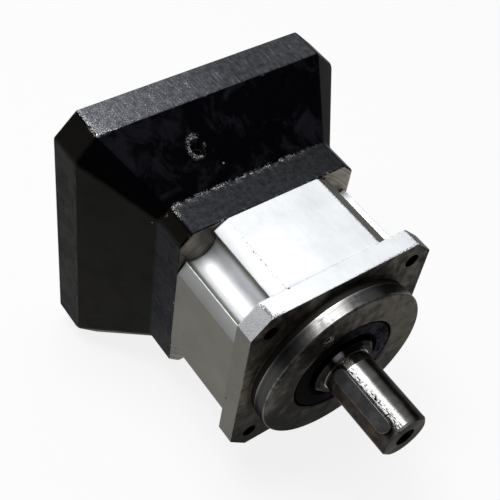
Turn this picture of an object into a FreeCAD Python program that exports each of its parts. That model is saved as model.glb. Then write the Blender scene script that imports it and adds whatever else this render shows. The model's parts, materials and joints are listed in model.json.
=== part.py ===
import FreeCAD
import Part
import math
import os

# An inline planetary reduction gearbox for a servo motor: a square output flange with a round pilot,
# a fluted body that holds the ring gear, and a tapered adapter plate that the motor bolts to.
# Millimetres. +X runs along the output shaft, out of the gearbox, and +Z is up.
# The origin is on the shaft axis, in the face of the output flange.

# Output flange and pilot
flange_side = 90.0
flange_thickness = 9.0
flange_corner_cut = 8.5
flange_bolt_circle = 100.0
flange_bolt_hole = 6.5
pilot_diameter = 80.0
pilot_length = 10.0
pilot_chamfer = 0.8
pilot_relief_width = 3.0
pilot_relief_depth = 0.5

# Body between the flange and the adapter
body_step = 0.75
body_turned_diameter = 100.0
flute_radius = 8.4
body_shoulder_chamfer = 0.6

# Motor adapter
neck_step = 1.0
neck_length = 16.0
neck_corner_cut = 5.4
taper_length = 29.9
plate_side = 130.0
plate_thickness = 17.0
plate_corner_cut = 10.4
spigot_length = 8.6
motor_pilot_diameter = 110.0
motor_pilot_depth = 6.0
motor_bolt_circle = 145.0
motor_thread_core = 6.8
motor_thread_depth = 15.0
motor_bay_margin = 0.9
recess_chamfer = 0.8

# Output shaft with its key and tapped end
shaft_diameter = 22.0
shaft_tip = 49.1
shaft_end_chamfer = 1.0
collar_diameter = 30.0
collar_rise = 2.0
collar_chamfer = 1.5
grinding_relief_width = 4.5
grinding_relief_depth = 0.15
tip_thread_core = 6.8
tip_thread_depth = 19.0
tip_drill_point = 1.7
tip_countersink = 9.4
key_width = 6.0
key_height = 6.0
key_seat_depth = 3.5
key_setback = 2.4
key_tip_setback = 2.7
key_seat_end_gap = 0.5
key_turn = 137.0

# Gears: one sun, three planets and a fixed ring
gear_module = 1.25
pressure_angle = math.radians(20.0)
sun_teeth = 15
planet_teeth = 15
planet_count = 3
gear_width = 14.0
tooth_play = 0.10
addendum = 1.0
dedendum = 1.25
ring_addendum = 0.6
ring_rim = 4.3
ring_overhang = 2.0
first_planet_angle = math.radians(90.0)

# Planet carrier, in one piece with the output shaft
carrier_room = 1.9
carrier_front_wall = 7.0
carrier_rear_wall = 6.0
planet_pocket_room = 0.7
pin_diameter = 9.0
pin_blind_depth = 5.0
bush_wall = 1.5
washer_thickness = 0.8
washer_width = 4.0
washer_gap = 0.2
boss_wall = 3.5
boss_end_gap = 0.5

# Front bearing, a tapered roller bearing behind the shaft seal
front_bearing_section = 12.5
front_bearing_width = 17.0
front_cup_width = 13.0
front_roller_diameter = 5.8
front_roller_tilt = math.radians(13.5)
front_roller_count = 16
front_large_rib = 3.1
front_small_rib = 1.7

# Rear bearing, a smaller tapered roller bearing that faces the front one
rear_bearing_section = 10.0
rear_bearing_width = 14.0
rear_cup_width = 11.5
rear_roller_diameter = 4.6
rear_roller_tilt = math.radians(11.0)
rear_roller_count = 18
rear_large_rib = 2.45
rear_small_rib = 1.7

# Ribs and cages of both tapered bearings
rib_height = 1.1
small_rib_height = 0.6
cage_thickness = 1.1
cage_lift = 0.8
cage_rim = 1.1

# Input bearing, a cylindrical roller bearing on the hub
input_bearing_section = 11.0
input_bearing_width = 8.0
input_roller_diameter = 4.8
input_roller_count = 16
input_rib_width = 1.3
input_rib_height = 0.8

# Seals, shim and web
shaft_seal_section = 10.0
shaft_seal_width = 6.6
shaft_seal_setback = 0.4
seal_shoulder = 3.0
seal_shoulder_lip = 4.5
seal_case_wall = 2.0
seal_edge_chamfer = 1.0
seal_web = 3.0
seal_mouth_width = 2.6
seal_mouth_depth = 1.4
seal_heel = 3.0
dust_lip_setback = 2.2
main_lip_setback = 1.4
main_lip_toe = 0.5
lip_bevel = 0.8
lip_root = 1.2
input_seal_width = 4.0
input_seal_web = 1.4
input_seal_heel = 2.0
shim_thickness = 0.5
shim_width = 4.0
bearing_web = 2.5
bearing_web_lip = 3.5
spigot_ring_width = 2.2
spigot_ring_depth = 1.6
spigot_ring_setback = 2.0
cut_past = 1.0

# Input hub with its split sleeve and clamp ring
motor_shaft_diameter = 22.0
motor_shaft_room = 31.0
motor_bore_drill_point = 3.7
hub_nose_wall = 2.4
hub_nose_gap = 0.6
hub_seat_wall = 4.0
hub_shoulder_rise = 2.5
sleeve_wall = 2.5
sleeve_overhang = 1.5
sleeve_slit = 1.5
sleeve_slit_count = 4
clamp_ring_width = 10.0
clamp_ring_gap = 0.5
clamp_ring_rim = 4.5
clamp_slit = 2.0
clamp_screw_wall = 1.0
clamp_screw_diameter = 5.0
clamp_screw_length = 18.0
clamp_head_seat = 7.0
clamp_bay_room = 8.0
hub_circlip_width = 1.2
hub_circlip_depth = 0.9
hub_circlip_rise = 1.6

# Screws and plugs
adapter_screw_diameter = 5.0
adapter_screw_edge = 5.0
adapter_screw_spread = 38.0
adapter_screw_grip = 20.4
adapter_screw_engagement = 9.6
adapter_thread_spare = 2.5
access_hole_diameter = 6.0
access_plug_length = 6.0
access_plug_sink = 1.2
grease_plug_diameter = 5.0
grease_plug_length = 6.0
grease_plug_sink = 0.6
grease_plug_wall = 2.5
grease_plug_chamfer = 0.5
grease_plug_turn = math.radians(117.0)
plug_chamfer = 0.4

# Clearances
running_gap = 0.03
roller_end_gap = 0.10
lip_gap = 0.05
screw_hole_gap = 0.25
head_gap = 0.5
thread_gap = 0.05
pocket_gap = 0.20

# Shares of the thread diameter in a socket head cap screw
head_width_share = 1.7
head_height_share = 1.0
socket_share = 0.8
socket_depth_share = 0.5
screw_chamfer = 0.4

# Gear radii, and the ring gear that they call for
ring_teeth = sun_teeth + 2 * planet_teeth
sun_pitch_radius = gear_module * sun_teeth / 2
planet_pitch_radius = gear_module * planet_teeth / 2
ring_pitch_radius = gear_module * ring_teeth / 2
planet_orbit = sun_pitch_radius + planet_pitch_radius
sun_tip_radius = sun_pitch_radius + addendum * gear_module
sun_root_radius = sun_pitch_radius - dedendum * gear_module
planet_tip_radius = planet_pitch_radius + addendum * gear_module
ring_tip_radius = ring_pitch_radius - ring_addendum * gear_module
ring_root_radius = ring_pitch_radius + dedendum * gear_module
ring_outside_radius = ring_root_radius + ring_rim
carrier_radius = ring_tip_radius - carrier_room
sun_bay_radius = sun_tip_radius + planet_pocket_room
pin_radius = pin_diameter / 2
bush_radius = pin_radius + bush_wall

# Radii of the output side, from the shaft outwards
shaft_radius = shaft_diameter / 2
collar_radius = collar_diameter / 2
front_bearing_radius = collar_radius + front_bearing_section
shaft_seal_radius = collar_radius + shaft_seal_section
front_carrier_bay = max(front_bearing_radius, carrier_radius + carrier_room)
grease_plug_reach = shaft_seal_radius + grease_plug_wall + grease_plug_diameter / 2

# Radii of the input side, from the motor shaft outwards
motor_bore_radius = motor_shaft_diameter / 2
hub_nose_radius = motor_bore_radius + hub_nose_wall
boss_bore_radius = hub_nose_radius + hub_nose_gap
boss_radius = boss_bore_radius + boss_wall
rear_bearing_radius = boss_radius + rear_bearing_section
rear_carrier_bay = max(rear_bearing_radius, carrier_radius + carrier_room)
hub_seat_radius = motor_bore_radius + hub_seat_wall
hub_shoulder_radius = hub_seat_radius + hub_shoulder_rise
input_bearing_radius = hub_seat_radius + input_bearing_section
sleeve_radius = motor_bore_radius + sleeve_wall
clamp_screw_offset = sleeve_radius + clamp_screw_wall + clamp_screw_diameter / 2
clamp_ring_radius = clamp_screw_offset + clamp_screw_diameter / 2 + clamp_ring_rim
clamp_bay_radius = clamp_ring_radius + clamp_bay_room

# Outer outlines and the screws that join them
body_flats = flange_side - 2 * body_step
neck_side = flange_side - 2 * neck_step
adapter_screw_y = min(body_flats, neck_side) / 2 - adapter_screw_edge
adapter_screw_z = adapter_screw_spread / 2
adapter_head_bore = adapter_screw_diameter * head_width_share / 2 + head_gap
motor_bay_radius = math.hypot(adapter_screw_y, adapter_screw_z) + adapter_head_bore + motor_bay_margin
flange_bolt_offset = flange_bolt_circle / 2 * math.sqrt(0.5)
motor_bolt_offset = motor_bolt_circle / 2 * math.sqrt(0.5)
quarter_signs = [(1, 1), (-1, 1), (-1, -1), (1, -1)]

# Stations along the shaft axis, from the shaft's tip back to the motor face
collar_front = pilot_length + collar_rise
key_rear = collar_front + key_setback
key_length = shaft_tip - key_tip_setback - key_rear
seal_seat_back = pilot_length - shaft_seal_setback - shaft_seal_width
front_cup_back = seal_seat_back - seal_shoulder
front_cone_back = front_cup_back - front_bearing_width
front_wall_rear = front_cone_back - carrier_front_wall
gear_front = front_wall_rear - washer_thickness - washer_gap
gear_rear = gear_front - gear_width
rear_wall_front = gear_rear - washer_thickness - washer_gap
rear_cone_back = rear_wall_front - carrier_rear_wall
rear_cup_back = rear_cone_back - rear_bearing_width
shim_back = rear_cup_back - shim_thickness
web_back = shim_back - bearing_web
input_bearing_back = web_back - input_bearing_width
input_seal_back = input_bearing_back - input_seal_width
clamp_front = input_seal_back - clamp_ring_gap
clamp_back = clamp_front - clamp_ring_width
clamp_middle = (clamp_front + clamp_back) / 2
clamp_bay_back = clamp_back - clamp_ring_gap
hub_end = clamp_back - sleeve_overhang
ring_front = gear_front + ring_overhang
ring_rear = gear_rear - ring_overhang
flange_back = -flange_thickness
body_back = ring_rear - spigot_length
neck_back = body_back - neck_length
plate_front = neck_back - taper_length
motor_face = plate_front - plate_thickness
motor_pilot_floor = motor_face + motor_pilot_depth
adapter_screw_seat = body_back - adapter_screw_grip

x_axis = FreeCAD.Vector(1, 0, 0)
z_axis = FreeCAD.Vector(0, 0, 1)
origin = FreeCAD.Vector(0, 0, 0)


def turned(profile):
    """A solid of revolution about the shaft axis from (x, radius) points."""
    points = [FreeCAD.Vector(x, radius, 0) for x, radius in profile]
    wire = Part.makePolygon(points + points[:1])
    return Part.Face(wire).revolve(origin, x_axis, 360)


def round_bar(x_from, x_to, radius, y=0.0, z=0.0):
    """A cylinder along X between two stations."""
    return Part.makeCylinder(radius, abs(x_to - x_from), FreeCAD.Vector(min(x_from, x_to), y, z), x_axis)


def ring(x_from, x_to, outer, inner, y=0.0, z=0.0):
    """A plain ring along X between two stations."""
    return round_bar(x_from, x_to, outer, y, z).cut(round_bar(x_from, x_to, inner, y, z))


def outline(points, x):
    """A closed wire through (y, z) points in the plane at x."""
    corners = [FreeCAD.Vector(x, y, z) for y, z in points]
    return Part.makePolygon(corners + corners[:1])


def cut_square(side, corner_cut):
    """The (y, z) corners of a square with its four corners cut at 45 degrees."""
    half = side / 2
    inner = half - corner_cut
    corners = []
    for sign_y, sign_z in quarter_signs:
        pair = [(sign_y * half, sign_z * inner), (sign_y * inner, sign_z * half)]
        corners += pair if sign_y * sign_z > 0 else pair[::-1]
    return corners


def prism(points, x_from, x_to):
    """A straight prism along X from (y, z) points."""
    face = Part.Face(outline(points, x_from))
    return face.extrude(FreeCAD.Vector(x_to - x_from, 0, 0))


def hexagon(across_flats):
    """The (u, v) corners of a hexagon, for a key socket."""
    radius = across_flats / math.sqrt(3)
    return [(radius * math.cos(k * math.pi / 3), radius * math.sin(k * math.pi / 3)) for k in range(6)]


def turn(shape, angle):
    """The shape turned about the shaft axis, in radians."""
    return shape.rotated(origin, x_axis, math.degrees(angle))


def around(shape, count):
    """Equal copies of the shape spaced round the shaft axis."""
    return [turn(shape, 2 * math.pi * k / count) for k in range(count)]


def socket_screw(diameter, shank):
    """A socket head cap screw on the X axis: the head's seat at x = 0, the shank towards +X."""
    chamfer = screw_chamfer
    head_radius = diameter * head_width_share / 2
    head_height = diameter * head_height_share
    socket_depth = diameter * socket_depth_share
    screw = turned([
        (-head_height, 0),
        (-head_height, head_radius - chamfer),
        (-head_height + chamfer, head_radius),
        (0, head_radius),
        (0, diameter / 2),
        (shank - chamfer, diameter / 2),
        (shank, diameter / 2 - chamfer),
        (shank, 0),
    ])
    socket = prism(hexagon(diameter * socket_share), -head_height, -head_height + socket_depth)
    return screw.cut(socket)


def set_screw(diameter, length):
    """A headless plug screw on the X axis, its socket at x = 0 and its tip towards -X."""
    chamfer = plug_chamfer
    plug = turned([
        (0, 0),
        (0, diameter / 2 - chamfer),
        (-chamfer, diameter / 2),
        (-length + chamfer, diameter / 2),
        (-length, diameter / 2 - chamfer),
        (-length, 0),
    ])
    return plug.cut(prism(hexagon(diameter / 2), -length / 2, 0))


def involute(angle):
    return math.tan(angle) - angle


def tooth_half_angle(teeth, radius, half_at_pitch):
    """Half the angle of an involute tooth (or space of a ring) at a radius."""
    base = gear_module * teeth / 2 * math.cos(pressure_angle)
    at_radius = math.acos(min(1.0, base / radius))
    return half_at_pitch + involute(pressure_angle) - involute(at_radius)


def polar(x, radius, angle):
    return FreeCAD.Vector(x, radius * math.cos(angle), radius * math.sin(angle))


def gear_outline(teeth, root, tip, half_at_pitch, phase, x):
    """A closed wire of involute teeth, each flank an arc through three points of the involute."""
    base = gear_module * teeth / 2 * math.cos(pressure_angle)
    start = max(base, root)
    middle = (start + tip) / 2
    pitch = 2 * math.pi / teeth
    half_root = tooth_half_angle(teeth, start, half_at_pitch)
    half_middle = tooth_half_angle(teeth, middle, half_at_pitch)
    half_tip = tooth_half_angle(teeth, tip, half_at_pitch)
    edges = []
    for k in range(teeth):
        centre = phase + k * pitch
        rise = [polar(x, start, centre - half_root), polar(x, middle, centre - half_middle),
                polar(x, tip, centre - half_tip)]
        fall = [polar(x, tip, centre + half_tip), polar(x, middle, centre + half_middle),
                polar(x, start, centre + half_root)]
        foot_rise = polar(x, root, centre - half_root)
        foot_fall = polar(x, root, centre + half_root)
        next_foot = polar(x, root, centre + pitch - half_root)
        if start > root:
            edges.append(Part.LineSegment(foot_rise, rise[0]).toShape())
        edges.append(Part.Arc(*rise).toShape())
        edges.append(Part.Arc(rise[2], polar(x, tip, centre), fall[0]).toShape())
        edges.append(Part.Arc(*fall).toShape())
        if start > root:
            edges.append(Part.LineSegment(fall[2], foot_fall).toShape())
        edges.append(Part.Arc(foot_fall, polar(x, root, centre + pitch / 2), next_foot).toShape())
    return Part.Wire(edges)


def outside_gear(teeth, phase):
    """A spur gear blank across the gear width, its teeth thinned by half the play."""
    pitch_radius = gear_module * teeth / 2
    half_at_pitch = math.pi / (2 * teeth) - tooth_play / (4 * pitch_radius)
    root = pitch_radius - dedendum * gear_module
    tip = pitch_radius + addendum * gear_module
    wire = gear_outline(teeth, root, tip, half_at_pitch, phase, gear_rear)
    return Part.Face(wire).extrude(FreeCAD.Vector(gear_width, 0, 0))


# Where each planet sits, and how its teeth are turned to mesh with a sun tooth that points along +Y
planet_angles = [first_planet_angle + 2 * math.pi * k / planet_count for k in range(planet_count)]
planet_places = [(planet_orbit * math.cos(angle), planet_orbit * math.sin(angle)) for angle in planet_angles]
planet_phases = [
    angle + math.pi + 2 * math.pi / planet_teeth * (angle * sun_teeth / (2 * math.pi) - 0.5)
    for angle in planet_angles
]


def make_housing():
    """Flange, pilot and fluted body in one piece, bored for the seal, front bearing and ring gear."""
    flange = prism(cut_square(flange_side, flange_corner_cut), flange_back, 0)
    body = Part.makeBox(flange_back - body_back, body_flats, body_flats,
                        FreeCAD.Vector(body_back, -body_flats / 2, -body_flats / 2))
    body_round = turned([
        (flange_back, 0),
        (flange_back, body_turned_diameter / 2),
        (body_back + body_shoulder_chamfer, body_turned_diameter / 2),
        (body_back, body_turned_diameter / 2 - body_shoulder_chamfer),
        (body_back, 0),
    ])
    body = body.common(body_round)
    bolts = [(sign_y * flange_bolt_offset, sign_z * flange_bolt_offset) for sign_y, sign_z in quarter_signs]
    body = body.cut([round_bar(body_back, flange_back, flute_radius, y, z) for y, z in bolts])
    pilot_radius = pilot_diameter / 2
    pilot = turned([
        (flange_back, 0),
        (flange_back, pilot_radius - pilot_relief_depth),
        (pilot_relief_width, pilot_radius - pilot_relief_depth),
        (pilot_relief_width, pilot_radius),
        (pilot_length - pilot_chamfer, pilot_radius),
        (pilot_length, pilot_radius - pilot_chamfer),
        (pilot_length, 0),
    ])
    shell = flange.fuse([body, pilot])
    bores = turned([
        (pilot_length, 0),
        (pilot_length, shaft_seal_radius + pilot_chamfer / 2),
        (pilot_length - pilot_chamfer / 2, shaft_seal_radius),
        (seal_seat_back, shaft_seal_radius),
        (seal_seat_back, front_bearing_radius - seal_shoulder_lip),
        (front_cup_back, front_bearing_radius - seal_shoulder_lip),
        (front_cup_back, front_bearing_radius),
        (front_cup_back - front_cup_width, front_bearing_radius),
        (front_cup_back - front_cup_width, front_carrier_bay),
        (ring_front, front_carrier_bay),
        (ring_front, ring_outside_radius),
        (body_back, ring_outside_radius),
        (body_back, 0),
    ])
    holes = [round_bar(flange_back, 0, flange_bolt_hole / 2, y, z) for y, z in bolts]
    thread_end = body_back + adapter_screw_engagement + adapter_thread_spare
    thread_radius = adapter_screw_diameter / 2 + thread_gap
    for sign_y, sign_z in quarter_signs:
        holes.append(round_bar(body_back, thread_end, thread_radius,
                               sign_y * adapter_screw_y, sign_z * adapter_screw_z))
    plug_floor = pilot_length - grease_plug_sink - grease_plug_length
    plug_hole = turned([
        (pilot_length, 0),
        (pilot_length, grease_plug_diameter / 2 + grease_plug_chamfer),
        (pilot_length - grease_plug_chamfer, grease_plug_diameter / 2),
        (plug_floor, grease_plug_diameter / 2),
        (plug_floor, 0),
    ])
    holes.append(plug_hole.translated(polar(0, grease_plug_reach, grease_plug_turn)))
    return shell.cut([bores] + holes).removeSplitter()


def slope_height(x):
    """Half the adapter's width across flats at a station on its taper."""
    share = (neck_back - x) / taper_length
    return neck_side / 2 + share * (plate_side - neck_side) / 2


def make_adapter():
    """Neck, taper and motor plate in one piece, with the spigot that enters the body."""
    neck_outline = cut_square(neck_side, neck_corner_cut)
    plate_outline = cut_square(plate_side, plate_corner_cut)
    neck = prism(neck_outline, body_back, neck_back)
    taper = Part.makeLoft([outline(neck_outline, neck_back), outline(plate_outline, plate_front)], True, True)
    plate = prism(plate_outline, plate_front, motor_face)
    spigot = round_bar(ring_rear, body_back, ring_outside_radius)
    shell = neck.fuse([taper, plate, spigot])
    ring_at = body_back + spigot_ring_setback
    groove = ring(ring_at, ring_at + spigot_ring_width, ring_outside_radius + cut_past,
                  ring_outside_radius - spigot_ring_depth)
    bores = turned([
        (ring_rear, 0),
        (ring_rear, rear_carrier_bay),
        (rear_cup_back + rear_cup_width, rear_carrier_bay),
        (rear_cup_back + rear_cup_width, rear_bearing_radius),
        (shim_back, rear_bearing_radius),
        (shim_back, input_bearing_radius - bearing_web_lip),
        (web_back, input_bearing_radius - bearing_web_lip),
        (web_back, input_bearing_radius),
        (input_seal_back, input_bearing_radius),
        (input_seal_back, clamp_bay_radius),
        (clamp_bay_back, clamp_bay_radius),
        (clamp_bay_back, motor_bay_radius),
        (motor_pilot_floor, motor_bay_radius),
        (motor_pilot_floor, motor_pilot_diameter / 2),
        (motor_face + recess_chamfer, motor_pilot_diameter / 2),
        (motor_face, motor_pilot_diameter / 2 + recess_chamfer),
        (motor_face, 0),
    ])
    cuts = [groove, bores]
    for sign_y, sign_z in quarter_signs:
        y = sign_y * adapter_screw_y
        z = sign_z * adapter_screw_z
        shank_radius = adapter_screw_diameter / 2 + screw_hole_gap
        cuts.append(round_bar(body_back, adapter_screw_seat, shank_radius, y, z))
        cuts.append(round_bar(adapter_screw_seat, clamp_bay_back, adapter_head_bore, y, z))
        thread_end = motor_face + motor_thread_depth
        cuts.append(round_bar(motor_face, thread_end, motor_thread_core / 2,
                              sign_y * motor_bolt_offset, sign_z * motor_bolt_offset))
    cuts.append(Part.makeCylinder(access_hole_diameter / 2, plate_side / 2,
                                  FreeCAD.Vector(clamp_middle, -clamp_screw_offset, 0), z_axis))
    return shell.cut(cuts).removeSplitter()


def make_ring_gear():
    """The fixed ring: a cylinder with involute spaces cut right through."""
    half_space = math.pi / (2 * ring_teeth) + tooth_play / (4 * ring_pitch_radius)
    phase = planet_angles[0] + (planet_phases[0] - planet_angles[0]) * planet_teeth / ring_teeth
    wire = gear_outline(ring_teeth, ring_tip_radius, ring_root_radius, half_space, phase, ring_rear)
    spaces = Part.Face(wire).extrude(FreeCAD.Vector(ring_front - ring_rear, 0, 0))
    return round_bar(ring_rear, ring_front, ring_outside_radius).cut(spaces)


def make_output_shaft():
    """Output shaft and planet carrier in one piece, with keyway, planet pockets and rear boss."""
    boss_end = rear_cup_back + boss_end_gap
    blank = turned([
        (boss_end, boss_bore_radius),
        (boss_end, boss_radius),
        (rear_cone_back, boss_radius),
        (rear_cone_back, carrier_radius),
        (front_cone_back, carrier_radius),
        (front_cone_back, collar_radius),
        (collar_front - collar_chamfer, collar_radius),
        (collar_front, collar_radius - collar_chamfer),
        (collar_front, shaft_radius - grinding_relief_depth),
        (collar_front + grinding_relief_width, shaft_radius - grinding_relief_depth),
        (collar_front + grinding_relief_width, shaft_radius),
        (shaft_tip - shaft_end_chamfer, shaft_radius),
        (shaft_tip, shaft_radius - shaft_end_chamfer),
        (shaft_tip, 0),
        (front_wall_rear, 0),
        (front_wall_rear, sun_bay_radius),
        (rear_cone_back, sun_bay_radius),
        (rear_cone_back, boss_bore_radius),
    ])
    cuts = []
    pin_front = front_wall_rear + pin_blind_depth
    for y, z in planet_places:
        pocket_radius = planet_tip_radius + planet_pocket_room
        cuts.append(round_bar(rear_wall_front, front_wall_rear, pocket_radius, y, z))
        cuts.append(round_bar(rear_cone_back, pin_front, pin_radius, y, z))
    thread_floor = shaft_tip - tip_thread_depth
    sink_depth = (tip_countersink - tip_thread_core) / 2 * math.sqrt(3)
    cuts.append(turned([
        (shaft_tip, 0),
        (shaft_tip, tip_countersink / 2),
        (shaft_tip - sink_depth, tip_thread_core / 2),
        (thread_floor, tip_thread_core / 2),
        (thread_floor - tip_drill_point, 0),
    ]))
    seat_floor = shaft_radius - key_seat_depth
    seat_rear = key_rear - running_gap
    seat_length = key_length + key_seat_end_gap
    cuts.append(key_bar(seat_rear, seat_length, key_width, seat_floor, shaft_radius + key_height))
    return blank.cut(cuts).removeSplitter()


def key_bar(rear, length, width, bottom, top):
    """A round-ended bar along the shaft, between two distances from its axis."""
    radius = width / 2
    height = top - bottom
    straight = Part.makeBox(length - width, width, height, FreeCAD.Vector(rear + radius, -radius, bottom))
    ends = [Part.makeCylinder(radius, height, FreeCAD.Vector(x, 0, bottom), z_axis)
            for x in (rear + radius, rear + length - radius)]
    bar = straight.fuse(ends).removeSplitter()
    return bar.rotated(origin, x_axis, key_turn - 90)


def make_key():
    seat_floor = shaft_radius - key_seat_depth
    return key_bar(key_rear, key_length, key_width, seat_floor, seat_floor + key_height)


def make_input_shaft():
    """Sun gear and hub in one piece: the motor shaft goes into its split sleeve."""
    nose_front = rear_cone_back - hub_nose_gap
    circlip_front = web_back + hub_circlip_width
    circlip_floor = hub_seat_radius - hub_circlip_depth
    bore_floor = hub_end + motor_shaft_room
    blank = turned([
        (gear_rear, 0),
        (gear_rear, sun_root_radius),
        (nose_front, sun_root_radius),
        (nose_front, hub_nose_radius),
        (circlip_front, hub_nose_radius),
        (circlip_front, circlip_floor),
        (web_back, circlip_floor),
        (web_back, hub_seat_radius),
        (input_bearing_back, hub_seat_radius),
        (input_bearing_back, hub_shoulder_radius),
        (input_seal_back, hub_shoulder_radius),
        (input_seal_back, sleeve_radius),
        (hub_end, sleeve_radius),
        (hub_end, motor_bore_radius + recess_chamfer),
        (hub_end + recess_chamfer, motor_bore_radius),
        (bore_floor, motor_bore_radius),
        (bore_floor + motor_bore_drill_point, 0),
    ])
    slit = Part.makeBox(clamp_front - hub_end, 2 * sleeve_radius, sleeve_slit,
                        FreeCAD.Vector(hub_end, 0, -sleeve_slit / 2))
    hub = blank.cut(around(slit, sleeve_slit_count))
    return hub.fuse(outside_gear(sun_teeth, 0.0)).removeSplitter()


def make_clamp_ring():
    """A split ring that one screw draws tight on the sleeve."""
    blank = ring(clamp_back, clamp_front, clamp_ring_radius, sleeve_radius + running_gap)
    slit = Part.makeBox(clamp_ring_width, clamp_ring_radius, clamp_slit,
                        FreeCAD.Vector(clamp_back, -clamp_ring_radius, -clamp_slit / 2))
    place = FreeCAD.Vector(clamp_middle, -clamp_screw_offset, -clamp_ring_radius)
    hole = Part.makeCylinder(clamp_screw_diameter / 2 + thread_gap, 2 * clamp_ring_radius, place, z_axis)
    head_radius = clamp_screw_diameter * head_width_share / 2 + head_gap
    head_bore = Part.makeCylinder(head_radius, clamp_ring_radius,
                                  FreeCAD.Vector(clamp_middle, -clamp_screw_offset, clamp_head_seat), z_axis)
    return blank.cut([slit, hole, head_bore]).removeSplitter()


def upright(shape, x, y, z):
    """A piece made along +X stood up to point along -Z, then moved to its place."""
    stood = shape.rotated(origin, FreeCAD.Vector(0, 1, 0), 90)
    return stood.translated(FreeCAD.Vector(x, y, z))


def make_clamp_screw():
    screw = socket_screw(clamp_screw_diameter, clamp_screw_length)
    return upright(screw, clamp_middle, -clamp_screw_offset, clamp_head_seat)


def make_access_plug():
    """A plug screw in the hole above the clamp screw, sunk below the lower edge of the slope."""
    top = slope_height(clamp_middle + access_hole_diameter / 2) - access_plug_sink
    plug = set_screw(access_hole_diameter, access_plug_length)
    stood = plug.rotated(origin, FreeCAD.Vector(0, 1, 0), -90)
    return stood.translated(FreeCAD.Vector(clamp_middle, -clamp_screw_offset, top))


def make_adapter_screws():
    screw = socket_screw(adapter_screw_diameter, adapter_screw_grip + adapter_screw_engagement)
    return [screw.translated(FreeCAD.Vector(adapter_screw_seat, sign_y * adapter_screw_y, sign_z * adapter_screw_z))
            for sign_y, sign_z in quarter_signs]


def make_shaft_seal():
    """A lip seal: a rubber-covered case, a flat face, a dust lip in its mouth and the main lip behind."""
    back = seal_seat_back
    front = back + shaft_seal_width
    lip = collar_radius + lip_gap
    face_inner = lip + seal_mouth_width
    case_inner = shaft_seal_radius - seal_case_wall
    web_rear = front - seal_web
    dust_lip = front - dust_lip_setback
    main_lip = back + main_lip_setback
    return turned([
        (back, shaft_seal_radius),
        (front - seal_edge_chamfer, shaft_seal_radius),
        (front, shaft_seal_radius - seal_edge_chamfer),
        (front, face_inner),
        (front - seal_mouth_depth, lip + lip_root),
        (dust_lip + lip_bevel / 2, lip + lip_bevel / 2),
        (dust_lip, lip),
        (dust_lip - lip_bevel / 2, lip + lip_bevel / 2),
        (web_rear, lip + lip_root),
        (main_lip + lip_bevel, lip + lip_root),
        (main_lip, lip),
        (back + main_lip_toe, lip + lip_bevel),
        (back + main_lip_toe, lip + seal_heel),
        (web_rear, lip + seal_heel),
        (web_rear, case_inner),
        (back, case_inner),
    ])


def make_input_seal():
    """A thin lip seal between the hub shoulder and the adapter."""
    lip = hub_shoulder_radius + lip_gap
    wall = input_bearing_radius - seal_case_wall
    web_front = input_seal_back + input_seal_web
    toe = input_bearing_back - main_lip_toe
    return turned([
        (input_seal_back, input_bearing_radius),
        (input_bearing_back, input_bearing_radius),
        (input_bearing_back, wall),
        (web_front, wall),
        (web_front, lip + input_seal_heel),
        (toe, lip + lip_root),
        (toe - lip_bevel, lip),
        (input_seal_back, lip + lip_bevel),
    ])


def taper_bearing(bore, outside, width, cup_width, roller_diameter, tilt, count, large_rib, small_rib):
    """Cup, cone, cage and rollers whose axes meet in one point on the shaft axis.

    Made along +X, with the cone's back face, where the rollers are largest, at x = 0.
    """
    roller = roller_diameter / 2
    middle_radius = (bore + outside) / 2
    reach = middle_radius / math.sin(tilt)
    length = (width - large_rib - small_rib - 2 * roller_end_gap
              - roller_diameter * math.sin(tilt)) / math.cos(tilt)
    large = roller * (1 + length / (2 * reach))
    small = roller * (1 - length / (2 * reach))
    large_x = large_rib + roller_end_gap + large * math.sin(tilt)
    middle_x = large_x + length / 2 * math.cos(tilt)
    apex = middle_x + middle_radius / math.tan(tilt)
    spread = math.atan(roller / reach)

    def cup_radius(x):
        return (apex - x) * math.tan(tilt + spread) + running_gap

    def cone_radius(x):
        return (apex - x) * math.tan(tilt - spread) - running_gap

    def axis_radius(x):
        return (apex - x) * math.tan(tilt)

    cup_front = width - cup_width
    cup = turned([
        (cup_front, outside),
        (width, outside),
        (width, cup_radius(width)),
        (cup_front, cup_radius(cup_front)),
    ])
    small_rib_x = width - small_rib
    cone = turned([
        (0, bore),
        (0, cone_radius(large_rib) + rib_height),
        (large_rib, cone_radius(large_rib) + rib_height),
        (large_rib, cone_radius(large_rib)),
        (small_rib_x, cone_radius(small_rib_x)),
        (small_rib_x, cone_radius(small_rib_x) + small_rib_height),
        (width, cone_radius(small_rib_x) + small_rib_height),
        (width, bore),
    ])
    along = FreeCAD.Vector(math.cos(tilt), -math.sin(tilt), 0)
    large_end = FreeCAD.Vector(large_x, axis_radius(large_x), 0)
    one_roller = Part.makeCone(large, small, length, large_end, along)
    pocket_start = large_end - along * roller_end_gap
    pocket = Part.makeCone(large + pocket_gap, small + pocket_gap, length + 2 * roller_end_gap,
                           pocket_start, along)
    cage_from = large_rib + roller_end_gap - cage_rim
    cage_to = width - small_rib - roller_end_gap + cage_rim
    inner = cage_lift - cage_thickness / 2
    outer = cage_lift + cage_thickness / 2
    cage_shell = turned([
        (cage_from, axis_radius(cage_from) + inner),
        (cage_from, axis_radius(cage_from) + outer),
        (cage_to, axis_radius(cage_to) + outer),
        (cage_to, axis_radius(cage_to) + inner),
    ])
    cage = cage_shell.cut(around(pocket, count))
    return {"cup": cup, "cone": cone, "cage": cage, "rollers": Part.makeCompound(around(one_roller, count))}


def placed_bearing(pieces, cone_back, towards):
    """The bearing's pieces moved so that the cone's back face is at a station, facing +X or -X."""
    placed = {}
    for name, shape in pieces.items():
        if towards < 0:
            shape = shape.rotated(origin, z_axis, 180)
        placed[name] = shape.translated(FreeCAD.Vector(cone_back, 0, 0))
    return placed


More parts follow.
